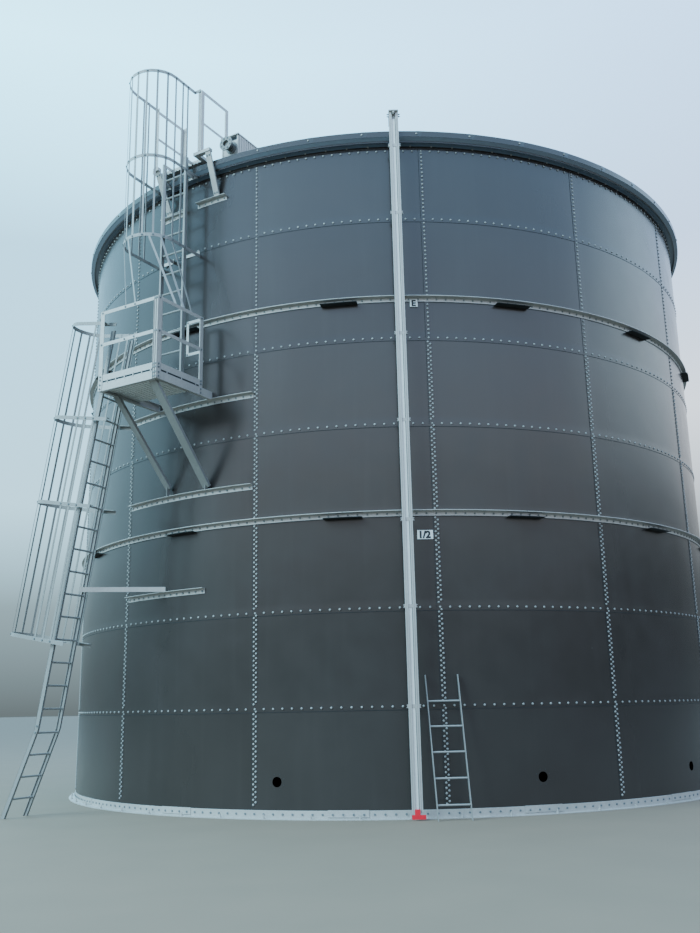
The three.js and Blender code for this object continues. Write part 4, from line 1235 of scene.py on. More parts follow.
@dataclass
class LevelGauge:
    """Clamps, slot and head fixings of the gauge board, and the two marked plates."""

    finishes: Finishes
    azimuth: float = math.radians(2.42)
    board_front: float = 5.552
    board_back: float = 5.512
    clamp_heights: tuple[float, ...] = (1.3, 2.5, 3.59, 4.9, 6.1, 7.855, 8.89)
    clamp_steel: float = 0.005
    bracket_steel: float = 0.006
    rivet_side: float = 0.02
    wall_bolt: Pair = (0.03, 0.025)
    tab_side: float = 0.076
    tab_size: Pair = (0.022, 0.006)
    tab_rise: float = 0.014
    tab_depths: Pair = (0.004, 0.030)
    slot_heights: Pair = (0.085, 9.30)
    slot_half: float = 0.0255
    slot_depths: Pair = (0.014, 0.017)
    edge_lines: tuple[Triple, ...] = (
        (0.0165, 0.0255, 0.014), (0.043, 0.048, 0.0), (-0.049, -0.046, 0.0))
    line_proud: float = 0.0005
    line_steel: float = 0.001
    head_bolts: Pair = (9.379, 9.344)
    bolt_depth: float = 0.020
    shank: Triple = (0.060, 0.094, 0.006)
    nut: Triple = (0.0652, 0.077, 0.012)
    strap_sides: Pair = (-0.071, -0.0651)
    strap_depths: Pair = (0.003, 0.030)
    strap_heights: Pair = (9.19, 9.33)
    tail_bolt: float = 9.085
    plates: tuple[tuple[str, str, Pair, Pair, float], ...] = (
        ("mark_plate_upper", "E", (4.00, 5.10), (6.541, 6.649), 0.0088),
        ("mark_plate_middle", "1/2", (3.83, 5.99), (3.362, 3.478), 0.0005))
    plate_edge: float = 0.001
    plate_steel: float = 0.003
    letter_share: Pair = (0.90, 0.86)
    letter_weight: float = 0.050
    letter_depth: float = 0.004
    letter_proud: float = 0.0006
    letter_seat: float = 0.0002

    def local(self) -> Place:
        """The gauge's own frame: X to the right along the shell, Y inwards."""
        return WORLD.then(Matrix.Rotation(self.azimuth, 3, "Z"), (0, 0, 0))

    def build(self) -> None:
        """Makes the board's fixings and the plates."""
        piece = Piece("gauge_fixings", self.finishes.cap)
        self.add_clamps(piece)
        self.add_slot(piece)
        self.add_head(piece)
        piece.build(TANK, Slot.GALVANISED)
        for plate in self.plates:
            self.build_plate(*plate)

    def add_clamps(self, piece: Piece) -> None:
        """Adds each clamp's rivets, its wall bolts and the tabs beside the board.

        Args:
            piece: the piece that gets them.
        """
        place = self.local()
        back, wall = -(self.board_back + self.clamp_steel), -(RADIUS + self.bracket_steel)
        shallow, deep = (-(self.board_front - depth) for depth in self.tab_depths)
        half_width, half_height = self.tab_size[0] / 2, self.tab_size[1] / 2
        side_step, rise = self.wall_bolt
        for z in self.clamp_heights:
            spots = [(side * self.rivet_side, back, z) for side in (-1, 1)]
            piece.add(heads(RIVET, place, spots, (0, -1, 0)))
            spots = [(side * side_step, wall, z + rise) for side in (-1, 1)]
            piece.add(heads(HEX_BOLT, place, spots, (0, -1, 0)))
            for side in (-1, 1):
                for tab in (-self.tab_rise, self.tab_rise):
                    low = (side * self.tab_side - half_width, shallow, z + tab - half_height)
                    high = (side * self.tab_side + half_width, deep, z + tab + half_height)
                    piece.add(box(low, high).placed(place), self.finishes.zinc)

    def add_slot(self, piece: Piece) -> None:
        """Adds the slot's floor in the lighter zinc copy, painted light, and darker lines of painted shade
        along the slot's right edge and on the lips.

        Args:
            piece: the piece that gets them.
        """
        place = self.local()
        bottom, top = self.slot_heights
        shallow, deep = (-(self.board_front - depth) for depth in self.slot_depths)
        liner = box((-self.slot_half, shallow, bottom), (self.slot_half, deep, top))
        piece.add(liner.placed(place), self.finishes.bright)
        # Darker lines painted on: shade at the slot's right edge and on the two lips.
        for left, right, depth in self.edge_lines:
            face = -(self.board_front - depth + self.line_proud)
            line = box((left, face, bottom), (right, face + self.line_steel, top))
            piece.add(line.placed(place), self.finishes.painted_shade_lines)

    def add_head(self, piece: Piece) -> None:
        """Adds the head's cross bolts with their nuts, the strap beside it and the bolt under it.

        Args:
            piece: the piece that gets them.
        """
        place, dark = self.local(), self.finishes.dark_bolt
        middle = -(self.board_front - self.bolt_depth)
        for z in self.head_bolts:
            for side in (-1, 1):
                for (near, far, radius), sides in ((self.shank, 8), (self.nut, 6)):
                    start, end = (side * near, middle, z), (side * far, middle, z)
                    piece.add(bar(circle(radius, sides), start, end, (0, 0, 1)).placed(place), dark)
        shallow, deep = (-(self.board_front - depth) for depth in self.strap_depths)
        low = (self.strap_sides[0], shallow, self.strap_heights[0])
        high = (self.strap_sides[1], deep, self.strap_heights[1])
        piece.add(box(low, high).placed(place), dark)
        spots = [(0.0, -(self.board_back + self.clamp_steel), self.tail_bolt)]
        piece.add(heads(HEX_BOLT, place, spots, (0, -1, 0)), dark)

    def build_plate(self, name: str, mark: str, sides: Pair, heights: Pair, proud: float) -> None:
        """A white plate with a plain black mark.

        Args:
            name: the piece's name.
            mark: its letters.
            sides: azimuths of its left and right edge, in degrees.
            heights: its lower and upper edge.
            proud: how far its back stands off the wall.
        """
        back, edge = RADIUS + proud, self.plate_edge
        face = back + SHEET_STEP + self.plate_steel
        left, right = (math.radians(a) for a in sides)
        low, high = heights
        profile = [(back, low), (face - edge, low), (face, low + edge), (face, high - edge),
                   (face - edge, high), (back, high)]
        piece = Piece(name, self.finishes.plate)
        piece.add(rolled(profile, np.linspace(left, right, 7), False))
        piece.add(self.lettering(mark, (left, right), heights, face), self.finishes.ink)
        piece.build(TANK, Slot.COATING)

    def lettering(self, mark: str, sides: Pair, heights: Pair, face: float) -> Shape:
        """A mark as a thin body wrapped on the plate.

        Args:
            mark: the letters.
            sides: the plate's left and right azimuth.
            heights: the plate's lower and upper edge.
            face: the radius of the plate's face.

        Returns:
            The letters about the plate's middle, scaled to the smaller of their shares of its width and
            height, with their offset across taken along the shell.
        """
        curve = bpy.data.curves.new("mark", "FONT")
        curve.body = mark
        curve.extrude = self.letter_depth
        curve.offset = self.letter_weight
        holder = bpy.data.objects.new("mark", curve)
        bpy.context.scene.collection.objects.link(holder)
        mesh = bpy.data.meshes.new_from_object(holder.evaluated_get(bpy.context.evaluated_depsgraph_get()))
        co = np.zeros(len(mesh.vertices) * 3, np.float32)
        mesh.vertices.foreach_get("co", co)
        co = co.reshape(-1, 3).astype(float)
        centre = (co.min(0) + co.max(0)) / 2
        size = co.max(0) - co.min(0)
        (left, right), (low, high) = sides, heights
        room = np.array([(right - left) * RADIUS, high - low]) * self.letter_share
        scale = float((room / size[:2]).min())
        co = (co - centre) * [scale, scale, self.letter_proud / size[2]]
        azimuth = (left + right) / 2 + co[:, 0] / RADIUS
        points = around(face + self.letter_seat + co[:, 2], azimuth, (low + high) / 2 + co[:, 1])
        groups: dict[int, list[tuple[int, ...]]] = {}
        for polygon in mesh.polygons:
            groups.setdefault(len(polygon.vertices), []).append(tuple(polygon.vertices))
        bpy.data.objects.remove(holder)
        bpy.data.curves.remove(curve)
        faces = [np.array(block) for block in groups.values()]
        bpy.data.meshes.remove(mesh)
        return Shape(points, faces)


@dataclass
class ShellAngleBolts:
    """Bolts of the short angles on the wall that carry the access parts.

    Each angle is given by its first and last azimuth in degrees and the height of its top.
    """

    finishes: Finishes
    angles: tuple[Triple, ...] = (
        (-44.3, -19.6, 5.4997), (-44.5, -19.7, 4.215), (-44.5, -27.6, 2.885), (-30.3, -24.6, 8.612),
        (-38.2, -32.6, 8.585))
    drop: float = 0.044
    steel: float = 0.0063
    inset: float = math.radians(0.4)
    pitch: float = 0.12

    def build(self) -> None:
        """Makes a row of bolts on each angle's upright leg."""
        piece = Piece("shell_angle_bolts", self.finishes.dark_bolt)
        for start, end, top in self.angles:
            a, b = math.radians(start) + self.inset, math.radians(end) - self.inset
            count = max(2, round((b - a) * RADIUS / self.pitch) + 1)
            piece.add(studs(HEX_BOLT, np.linspace(a, b, count), top - self.drop, RADIUS + self.steel))
        piece.build(TANK, Slot.GALVANISED)


@dataclass
class AccessFixings:
    """Ribs, shadow gaps and bolts of the platform, the landing and the roof box, in the access frame."""

    finishes: Finishes
    rib_pitch: float = 0.062
    rib_width: float = 0.036
    rib_depth: float = 0.011
    rib_overlap: float = 0.0006
    platform_planks: tuple[Pair, Pair] = ((-0.862, 0.152), (-6.438, -5.7004))
    platform_under: float = 5.566
    front: float = -6.4973
    side: float = 0.1683
    gap: Pair = (5.614, 5.638)
    gap_face: Pair = (-6.4912, 0.1614)
    gap_front: Pair = (-0.80, 0.096)
    gap_side: Pair = (-6.424, -5.646)
    gap_steel: float = 0.0008
    tab_width: float = 0.014
    tab_overlap: float = 0.012
    front_tab_depths: Pair = (-0.0053, 0.0007)
    side_tab_depths: Pair = (0.0001, 0.0061)
    front_tabs: Triple = (-0.72, 0.06, 0.155)
    side_tabs: Triple = (-6.30, -5.70, 0.29)
    posts: Pair = (5.5, 6.65)
    post_edges: tuple[float, ...] = (0.0973, 0.1290, 0.1643)
    post_edge: Pair = (0.004, 0.011)
    post_overlap: float = 0.0005
    side_post_edge: float = -6.4303
    post_bolts: tuple[float, ...] = (6.625, 6.16, 5.70, 5.655, 5.585, 5.53)
    front_bolts: tuple[float, ...] = (0.115, 0.147, -0.845)
    side_bolts: Pair = (-6.462, -5.6125)
    rail_bolts: Pair = (6.625, 6.16)
    rail_joint: Pair = (-0.427, -0.255)
    return_bolts: Pair = (-0.112, 0.155)
    return_face: float = -5.58
    return_levels: Pair = (6.15, 6.63)
    landing_planks: tuple[Pair, Pair] = ((-0.885, 0.012), (-5.4396, -5.345))
    landing_under: float = 9.2518
    guard_face: float = -5.5303
    guard_sides: Pair = (-0.862, -0.012)
    guard_bolts: tuple[float, ...] = (9.325, 9.362, 10.365)
    struts: tuple[tuple[tuple[float, ...], tuple[float, ...]], ...] = (
        ((0.218, -5.3881, 8.612), (0.2, -5.598, 9.2517)),
        ((-0.72, -5.3440, 8.585), (-0.79, -5.574, 9.2517)))
    strut_ends: Pair = (0.055, 0.06)
    strut_side: float = 0.022
    box_top: float = 9.5325
    box_side: float = 0.5795
    box_front: float = -5.3495
    box_rib: float = 0.007
    box_side_ribs: Triple = (-5.325, -4.89, 0.055)
    box_side_rib: Pair = (0.026, 9.235)
    box_front_ribs: Pair = (0.282, 0.555)
    box_front_rib: Pair = (0.022, 9.19)
    box_slot: tuple[Triple, Triple] = (
        (0.31, -5.3512, 9.462), (0.55, -5.3498, 9.522))
    stub: Pair = (0.458, 9.35)
    stub_rings: tuple[float, ...] = (-5.385, -5.402, -5.419, -5.436, -5.453)
    stub_ring: Pair = (0.068, 0.009)
    stub_bore: Triple = (0.0495, -5.3605, -5.3625)
    stub_flange: float = -5.5
    stub_bolts: int = 8
    stub_bolt_circle: float = 0.082

    def build(self) -> None:
        """Makes the dressing of each part."""
        self.build_platform()
        self.build_landing()
        self.build_roof_box()

    def ribs(self, piece: Piece, planks: tuple[Pair, Pair], under: float, finish: Material) -> None:
        """Adds the folded ribs of planks seen from below.

        Args:
            piece: the piece that gets them.
            planks: where the planks start and end along the shell, then their front and rear.
            under: the planks' lower face.
            finish: their material.
        """
        (left, right), (front, rear) = planks
        for x in np.arange(left, right - self.rib_width, self.rib_pitch):
            low = (x, front, under - self.rib_depth)
            high = (x + self.rib_width, rear, under + self.rib_overlap)
            piece.add(box(low, high).placed(ACCESS), finish)

    def build_platform(self) -> None:
        """The platform's ribs, the gap over its beams as a near-black strip of painted shade with small tabs,
        post edges and bolts.
        """
        piece = Piece("platform_details", self.finishes.zinc)
        # The ribs' undersides take the lighter zinc copy: painted light.
        self.ribs(piece, self.platform_planks, self.platform_under, self.finishes.bright)
        self.add_gap(piece)
        self.add_post_edges(piece)
        self.add_rail_bolts(piece)
        piece.build(TANK, Slot.GALVANISED)

    def add_gap(self, piece: Piece) -> None:
        """Adds the gap between the beams and the toe board as a near-black strip of painted shade, on two
        sides, and the tabs across it.

        Args:
            piece: the piece that gets them.
        """
        low, high = self.gap
        (y, x), thin = self.gap_face, self.gap_steel
        left, right = self.gap_front
        front, rear = self.gap_side
        piece.add(box((left, y, low), (right, y + thin, high)).placed(ACCESS), self.finishes.sealant_and_shade_black)
        piece.add(box((x, front, low), (x + thin, rear, high)).placed(ACCESS), self.finishes.sealant_and_shade_black)
        low, high = low - self.tab_overlap, high + self.tab_overlap
        outer, inner = (y + depth for depth in self.front_tab_depths)
        for start in np.arange(*self.front_tabs):
            tab = box((start, outer, low), (start + self.tab_width, inner, high))
            piece.add(tab.placed(ACCESS))
        inner, outer = (x + depth for depth in self.side_tab_depths)
        for start in np.arange(*self.side_tabs):
            tab = box((inner, start, low), (outer, start + self.tab_width, high))
            piece.add(tab.placed(ACCESS))

    def add_post_edges(self, piece: Piece) -> None:
        """Adds the turned edges of the angle posts at the platform's outer corner.

        Args:
            piece: the piece that gets them.
        """
        base, top = self.posts
        thick, reach = self.post_edge
        for x in self.post_edges:
            edge = box((x, self.front - reach, base), (x + thick, self.front + self.post_overlap, top))
            piece.add(edge.placed(ACCESS))
        y = self.side_post_edge
        edge = box((self.side - self.post_overlap, y, base), (self.side + reach, y + thick, top))
        piece.add(edge.placed(ACCESS))

    def add_rail_bolts(self, piece: Piece) -> None:
        """Adds the bolts of the posts and rails.

        Args:
            piece: the piece that gets them.
        """
        dark = self.finishes.dark_bolt
        spots = [(x, self.front, z) for z in self.post_bolts for x in self.front_bolts]
        piece.add(heads(HEX_BOLT, ACCESS, spots, (0, -1, 0)), dark)
        spots = [(self.side, y, z) for z in self.post_bolts for y in self.side_bolts]
        piece.add(heads(HEX_BOLT, ACCESS, spots, (1, 0, 0)), dark)
        spots = [(x, self.front, z) for z in self.rail_bolts for x in self.rail_joint]
        piece.add(heads(HEX_BOLT, ACCESS, spots, (0, -1, 0)), dark)
        for x in self.return_bolts:
            spots = [(x, self.return_face, z) for z in self.return_levels]
            piece.add(heads(HEX_BOLT, ACCESS, spots, (0, -1, 0)), dark)

    def build_landing(self) -> None:
        """The landing's ribs, guard bolts and the bolts at both ends of the struts."""
        dark = self.finishes.dark_bolt
        piece = Piece("landing_details", self.finishes.zinc)
        self.ribs(piece, self.landing_planks, self.landing_under, self.finishes.zinc)
        spots = [(x, self.guard_face, z) for x in self.guard_sides for z in self.guard_bolts]
        piece.add(heads(HEX_BOLT, ACCESS, spots, (0, -1, 0)), dark)
        from_foot, from_head = self.strut_ends
        for foot, head in self.struts:
            low, high = np.array(foot), np.array(head)
            along = (high - low) / np.linalg.norm(high - low)
            across = np.array((1.0, 0.0, 0.0)) - along * along[0]
            across /= np.linalg.norm(across)
            out = np.cross(across, along)
            for start in (low + along * from_foot, high - along * from_head):
                spots = [start + across * step for step in (-self.strut_side, self.strut_side)]
                piece.add(heads(HEX_BOLT, ACCESS, spots, out), dark)
        piece.build(TANK, Slot.GALVANISED)

    def build_roof_box(self) -> None:
        """The roof box's ribs, its slot and the stub's bore as near-black painted shade, the stub's rings
        with every other one near-black as painted shade between the ribs, and the bolts.
        """
        shade_black, dark_zinc = self.finishes.sealant_and_shade_black, self.finishes.dark_zinc
        piece = Piece("roof_box_details", self.finishes.zinc)
        side, front, proud, top = self.box_side, self.box_front, self.box_rib, self.box_top
        width, foot = self.box_side_rib
        for y in np.arange(*self.box_side_ribs):
            piece.add(box((side, y, foot), (side + proud, y + width, top)).placed(ACCESS))
        width, foot = self.box_front_rib
        for x in self.box_front_ribs:
            piece.add(box((x, front - proud, foot), (x + width, front, top)).placed(ACCESS))
        # The slot under the lid: a near-black block of painted shade.
        piece.add(box(*self.box_slot).placed(ACCESS), shade_black)
        x, z = self.stub
        radius, near, far = self.stub_bore
        # The bore: a near-black disc of painted shade.
        bore = bar(circle(radius, 24), (x, near, z), (x, far, z), (1, 0, 0))
        piece.add(bore.placed(ACCESS), shade_black)
        radius, length = self.stub_ring
        # Every other ring is near-black, painted shade between the ribs.
        for number, y in enumerate(self.stub_rings):
            ring = bar(circle(radius, 28), (x, y, z), (x, y - length, z), (1, 0, 0))
            piece.add(ring.placed(ACCESS), shade_black if number % 2 else dark_zinc)
        reach = self.stub_bolt_circle
        turn = (np.arange(self.stub_bolts) + 0.5) * 2 * np.pi / self.stub_bolts
        spots = [(x + reach * math.cos(a), self.stub_flange, z + reach * math.sin(a)) for a in turn]
        piece.add(heads(HEX_BOLT, ACCESS, spots, (0, -1, 0)), self.finishes.dark_bolt)
        piece.build(TANK, Slot.GALVANISED)


@dataclass
class LadderDress:
    """Fluted rungs, stile edges and cage bolts of the ladders."""

    finishes: Finishes
    lean: float = math.radians(10.57)
    foot_lean: float = math.radians(23.92)
    kink: float = 1.107
    turn: float = math.radians(4.85)
    foot_place: Triple = (-0.959, -6.168, 0.0)
    half: float = 0.209
    pivot: float = 5.5
    top: float = 6.4
    rung_pitch: float = 0.3
    main_rungs: tuple[float, int] = (5.489, 15)
    foot_rungs: tuple[float, int] = (0.045, 4)
    stile_half: float = 0.0325
    flange: Pair = (0.005, 0.028)
    rung_inset: float = 0.0095
    rung_radius: float = 0.0138
    flutes: int = 12
    flute_depth: float = 0.0014
    kink_bolts: Pair = (-0.04, 0.04)
    cage_radius: float = 0.262
    cage_middle: float = -0.59
    hoops: tuple[float, ...] = (2.21, 3.99, 5.16, 6.49)
    straps: tuple[float, ...] = (-75, -43, -15, 15, 43)
    arm_bolts: tuple[float, ...] = (-0.278, -0.14, -0.005)
    upper_rungs: tuple[float, float, int] = (5.938, 0.3085, 11)
    upper_place: Pair = (-0.417, -5.585)
    upper_half: float = 0.2165
    upper_radius: float = 0.388
    upper_middle: Pair = (-0.5, -5.955)
    upper_hoops: tuple[float, ...] = (7.76, 9.0, 10.385)
    upper_strap_turn: float = 22.5
    upper_arm_bolts: Pair = (-5.80, -5.69)
    strap_steel: float = 0.006

    def build(self) -> None:
        """Makes the dressing of the ladders and the two cages."""
        self.build_upper()
        self.build_lower()
        self.build_upper_cage()
        self.build_lower_cage()

    def lower_frame(self) -> Place:
        """The lower ladder's frame: Y along its rungs."""
        return ACCESS.then(Matrix.Rotation(self.turn, 3, "Z"), self.foot_place)

    def line(self, z: Numbers) -> Numbers:
        """How far the lower ladder's middle line has gone sideways at a height: it leans, and leans more
        below the kink."""
        main = -(self.pivot - np.maximum(z, self.kink)) * math.tan(self.lean)
        return main - (self.kink - np.minimum(z, self.kink)) * math.tan(self.foot_lean)

    def rungs(self, piece: Piece, place: Place, centres: np.ndarray, across: Sequence[float],
              half: float) -> None:
        """Adds fluted rungs.

        Args:
            piece: the piece that gets them.
            place: the local frame.
            centres: the rungs' middles.
            across: the direction along a rung.
            half: half a rung's length.
        """
        outline = circle(self.rung_radius, 2 * self.flutes, self.flutes, self.flute_depth)
        reach = np.array(across, float) * half
        for centre in centres:
            piece.add(bar(outline, centre - reach, centre + reach, (0, 0, 1)).placed(place))

    def build_upper(self) -> None:
        """The upper ladder's rungs."""
        piece = Piece("upper_ladder_rungs", self.finishes.ladder)
        first, pitch, count = self.upper_rungs
        x, y = self.upper_place
        centres = np.array([(x, y, first + number * pitch) for number in range(count)])
        self.rungs(piece, ACCESS, centres, (1, 0, 0), self.upper_half)
        piece.build(TANK, Slot.LADDER)

    def build_lower(self) -> None:
        """The lower ladder's rungs, the turned edges of its stiles and the bolts at the kink."""
        piece = Piece("lower_ladder_rungs", self.finishes.ladder)
        place = self.lower_frame()
        (first, main_count), (below_kink, foot_count) = self.main_rungs, self.foot_rungs
        main = first - np.arange(main_count) * self.rung_pitch * math.cos(self.lean)
        foot = self.kink - below_kink - np.arange(foot_count) * self.rung_pitch * math.cos(self.foot_lean)
        z = np.concatenate([main, foot])
        centres = np.stack([self.line(z), np.zeros(len(z)), z], -1)
        self.rungs(piece, place, centres, (0, 1, 0), self.half - self.rung_inset)
        steel, depth = self.flange
        for low, high, lean in ((0.0, self.kink, self.foot_lean), (self.kink, self.top, self.lean)):
            for edge in (-1, 1):
                for side in (-1, 1):
                    across = edge * (self.stile_half - steel / 2 / math.cos(lean))
                    y = side * (self.half - depth / 2)
                    start = (self.line(low) + across, y, low)
                    end = (self.line(high) + across, y, high)
                    piece.add(bar(rectangle(steel, depth), start, end, (1, 0, 0), True).placed(place))
        spots = [(self.line(z), -self.half, z) for z in (self.kink + step for step in self.kink_bolts)]
        piece.add(heads(HEX_BOLT, place, spots, (0, -1, 0)), self.finishes.dark_bolt)
        piece.build(TANK, Slot.LADDER)

    def build_upper_cage(self) -> None:
        """Bolts where the straps cross the hoops of the upper cage."""
        piece = Piece("upper_cage_bolts", self.finishes.dark_bolt)
        x, y = self.upper_middle
        reach = self.upper_radius + self.strap_steel
        for degrees in np.arange(-90.0, 91.0, self.upper_strap_turn):
            a = math.radians(degrees)
            out = (math.sin(a), -math.cos(a), 0)
            spots = [(x + reach * out[0], y + reach * out[1], z) for z in self.upper_hoops]
            piece.add(heads(HEX_BOLT, ACCESS, spots, out))
        for side in (-1, 1):
            spots = [(x + side * reach, arm, z) for arm in self.upper_arm_bolts for z in self.upper_hoops]
            piece.add(heads(HEX_BOLT, ACCESS, spots, (side, 0, 0)))
        piece.build(TANK, Slot.LADDER)

    def build_lower_cage(self) -> None:
        """Bolts where the straps cross the hoops of the lower cage, and along the hoops' arms. The top hoop
        has arm bolts on one side only."""
        piece = Piece("lower_cage_bolts", self.finishes.dark_bolt)
        leaned = self.lower_frame().then(Matrix.Rotation(self.lean, 3, "Y"), (0.0, 0.0, self.pivot))
        along = [(z - self.pivot) / math.cos(self.lean) for z in self.hoops]
        reach = self.cage_radius + self.strap_steel
        for degrees in self.straps:
            a = math.radians(degrees)
            out = (-math.cos(a), -math.sin(a), 0)
            spots = [(self.cage_middle + reach * out[0], reach * out[1], s) for s in along]
            piece.add(heads(HEX_BOLT, leaned, spots, out))
        for side, levels in ((-1, along[:-1]), (1, along)):
            spots = [(x, side * reach, s) for x in self.arm_bolts for s in levels]
            piece.add(heads(HEX_BOLT, leaned, spots, (0, side, 0)))
        piece.build(TANK, Slot.LADDER)


@dataclass
class Studio:
    """Floor, sky, lamp and camera.

    Each stop of a sky is a height, from 0 at the horizon to 1 overhead, and the colour's three shares there.
    """

    finishes: Finishes
    floor_half: float = 400.0
    floor_drop: float = 0.0005
    camera_place: Triple = (0.0, -17.492, 1.303)
    yaw: float = -0.0398
    pitch: float = 0.2449
    roll: float = -0.0206
    lens: float = 37.155
    sensor: float = 36.0
    sight: float = 1000.0
    sky_power: float = 6.0
    shaded_sky: SkyStops = (
        (0.0, 0.10, 0.12, 0.13), (0.12, 0.24, 0.28, 0.30), (0.20, 0.95, 1.02, 1.10), (0.28, 1.55, 1.70, 1.90),
        (0.44, 1.05, 1.55, 2.30), (0.62, 1.15, 2.10, 3.30), (1.0, 0.90, 1.50, 1.95))
    right_sky: SkyStops = (
        (0.0, 0.08, 0.10, 0.11), (0.17, 0.20, 0.24, 0.26), (0.25, 1.35, 1.60, 1.80), (0.33, 2.20, 2.80, 3.20),
        (0.46, 2.20, 3.30, 4.30), (0.62, 1.30, 2.20, 3.30), (1.0, 0.90, 1.50, 1.95))
    open_sky: SkyStops = (
        (0.0, 0.16, 0.20, 0.21), (0.10, 0.36, 0.52, 0.58), (0.20, 0.84, 1.50, 1.85), (0.44, 0.79, 1.73, 2.33),
        (0.60, 1.32, 3.90, 5.20), (0.76, 1.10, 2.60, 3.40), (1.0, 0.85, 1.50, 1.90))
    right_middle: Triple = (0.98, 0.2, 0.0)
    right_span: Pair = (0.76, 0.97)
    open_middle: Triple = (-0.8, 0.6, 0.0)
    open_span: Pair = (0.20, 0.85)
    lamp_place: Triple = (-20.0, -17.0, 19.0)
    lamp_target: Triple = (0.0, 0.0, 5.0)
    lamp_size: float = 16.0
    lamp_power: float = 21000.0
    lamp_colour: Triple = (0.50, 0.88, 1.0)

    def build(self) -> None:
        """Makes the camera, the floor, the sky and the lamp."""
        self.build_camera()
        self.build_floor()
        self.build_sky()
        self.build_lamp()

    def build_floor(self) -> None:
        """A plain square floor, just under the tank's foot."""
        points = [(x, y, -self.floor_drop) for x, y in rectangle(2 * self.floor_half, 2 * self.floor_half)]
        mesh = bpy.data.meshes.new("floor")
        mesh.from_pydata(points, [], [(0, 1, 2, 3)])
        mesh.materials.append(self.finishes.floor)
        thing = bpy.data.objects.new("floor", mesh)
        bpy.context.scene.collection.objects.link(thing)

    def sky_ramp(self, tree: NodeTree, height: Socket, stops: SkyStops) -> Socket:
        """The sky's colour by height.

        Args:
            tree: the sky's nodes.
            height: the upward share of the direction.
            stops: for each level its height and colour.

        Returns:
            The colour's socket.
        """
        ramp = tree.nodes.new("ShaderNodeValToRGB")
        tree.links.new(height, ramp.inputs["Fac"])
        points = ramp.color_ramp.elements
        for place, *_ in stops[2:]:
            points.new(place)
        for point, (place, *colour) in zip(points, stops):
            point.position = place
            point.color = (*(channel / self.sky_power for channel in colour), 1.0)
        return ramp.outputs["Color"]

    def sky_blend(self, tree: NodeTree, middle: Triple, span: Pair, first: Socket, second: Socket) -> Socket:
        """Two skies mixed by the direction.

        Args:
            tree: the sky's nodes.
            middle: the direction of the second sky's middle.
            span: the closeness to it at which the second sky starts and where it is full.
            first: colour of the sky elsewhere.
            second: colour of the sky there.

        Returns:
            The mixed colour's socket.
        """
        side = tree.nodes.new("ShaderNodeVectorMath")
        side.operation = "DOT_PRODUCT"
        tree.links.new(tree.nodes["Texture Coordinate"].outputs["Generated"], side.inputs[0])
        side.inputs[1].default_value = middle
        share = tree.nodes.new("ShaderNodeMapRange")
        share.interpolation_type = "SMOOTHSTEP"
        tree.links.new(side.outputs["Value"], share.inputs["Value"])
        share.inputs["From Min"].default_value, share.inputs["From Max"].default_value = span
        mix = tree.nodes.new("ShaderNodeMix")
        mix.data_type = "RGBA"
        tree.links.new(share.outputs["Result"], mix.inputs["Factor"])
        tree.links.new(first, mix.inputs[6])
        tree.links.new(second, mix.inputs[7])
        return mix.outputs[2]

    def build_sky(self) -> None:
        """The sky as a light: a shaded ramp by height in front, a brighter one to the right and an open one
        at the back left, blended by the direction."""
        world = bpy.data.worlds.new("soft_sky")
        world.use_nodes = True
        tree = world.node_tree
        direction = tree.nodes.new("ShaderNodeTexCoord").outputs["Generated"]
        parts = tree.nodes.new("ShaderNodeSeparateXYZ")
        tree.links.new(direction, parts.inputs[0])
        shaded, right, opened = (self.sky_ramp(tree, parts.outputs["Z"], stops)
                                 for stops in (self.shaded_sky, self.right_sky, self.open_sky))
        sky = self.sky_blend(tree, self.right_middle, self.right_span, shaded, right)
        sky = self.sky_blend(tree, self.open_middle, self.open_span, sky, opened)
        shade = tree.nodes["Background"]
        tree.links.new(sky, shade.inputs["Color"])
        shade.inputs["Strength"].default_value = self.sky_power
        bpy.context.scene.world = world

    def build_lamp(self) -> None:
        """A large square lamp that glossy surfaces don't mirror."""
        data = bpy.data.lights.new("key_soft", "AREA")
        data.shape = "SQUARE"
        data.size = self.lamp_size
        data.energy = self.lamp_power
        data.color = self.lamp_colour
        thing = bpy.data.objects.new("key_soft", data)
        thing.location = self.lamp_place
        thing.visible_glossy = False
        aim = Vector(self.lamp_target) - Vector(self.lamp_place)
        thing.rotation_euler = aim.to_track_quat("-Z", "Y").to_euler()
        bpy.context.scene.collection.objects.link(thing)

    def build_camera(self) -> None:
        """A camera at the photograph's viewpoint: level heading, then pitched up, then rolled."""
        data = bpy.data.cameras.new("camera")
        data.sensor_width = self.sensor
        data.lens = self.lens
        data.clip_end = self.sight
        ahead = Vector((math.sin(self.yaw), math.cos(self.yaw), 0.0))
        right = Vector((math.cos(self.yaw), -math.sin(self.yaw), 0.0))
        zenith = Vector((0, 0, 1))
        look = ahead * math.cos(self.pitch) + zenith * math.sin(self.pitch)
        up = zenith * math.cos(self.pitch) - ahead * math.sin(self.pitch)
        side = right * math.cos(self.roll) + up * math.sin(self.roll)
        top = up * math.cos(self.roll) - right * math.sin(self.roll)
        thing = bpy.data.objects.new("camera", data)
        turn = Matrix((side, top, -look)).transposed().to_4x4()
        thing.matrix_world = Matrix.Translation(self.camera_place) @ turn
        bpy.context.scene.collection.objects.link(thing)
        bpy.context.scene.camera = thing


def dress_solids(finishes: Finishes) -> None:
    """Gives every CAD node the finish of its record slot, and the listed ones the darker zinc, which on the
    braces is painted shade.

    Args:
        finishes: the finishes.
    """
    slots = {part["node"]: Slot(part["material_slot"]) for part in frame["record"]["subparts"]}
    for name, node in frame["nodes"].items():
        finish = finishes.dark_zinc if name in DARK_ZINC_NODES else finishes.of_slot(slots[name])
        node.data.materials.clear()
        node.data.materials.append(finish)


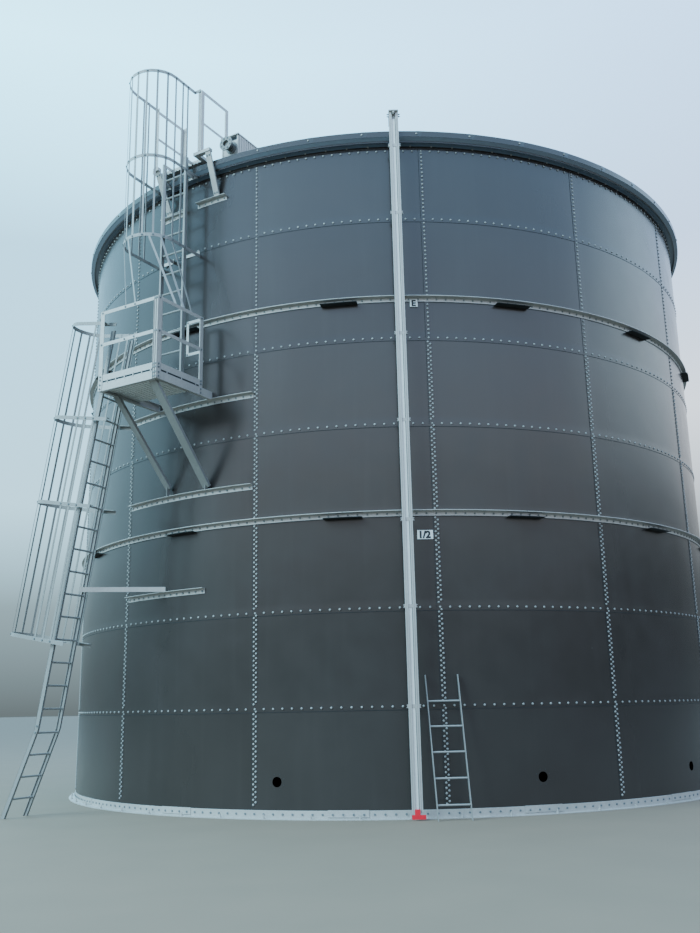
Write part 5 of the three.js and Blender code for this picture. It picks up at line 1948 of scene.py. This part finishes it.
def main() -> None:
    """Builds the sub-assemblies in order."""
    logging.basicConfig(level=logging.INFO, format="%(message)s")
    finishes = Finishes()
    Studio(finishes).build()
    dress_solids(finishes)
    PanelWall(finishes).build()
    RolledRings(finishes).build()
    SheetRoof(finishes).build()
    LevelGauge(finishes).build()
    ShellAngleBolts(finishes).build()
    AccessFixings(finishes).build()
    LadderDress(finishes).build()
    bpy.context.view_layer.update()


if __name__ == "__main__":
    main()
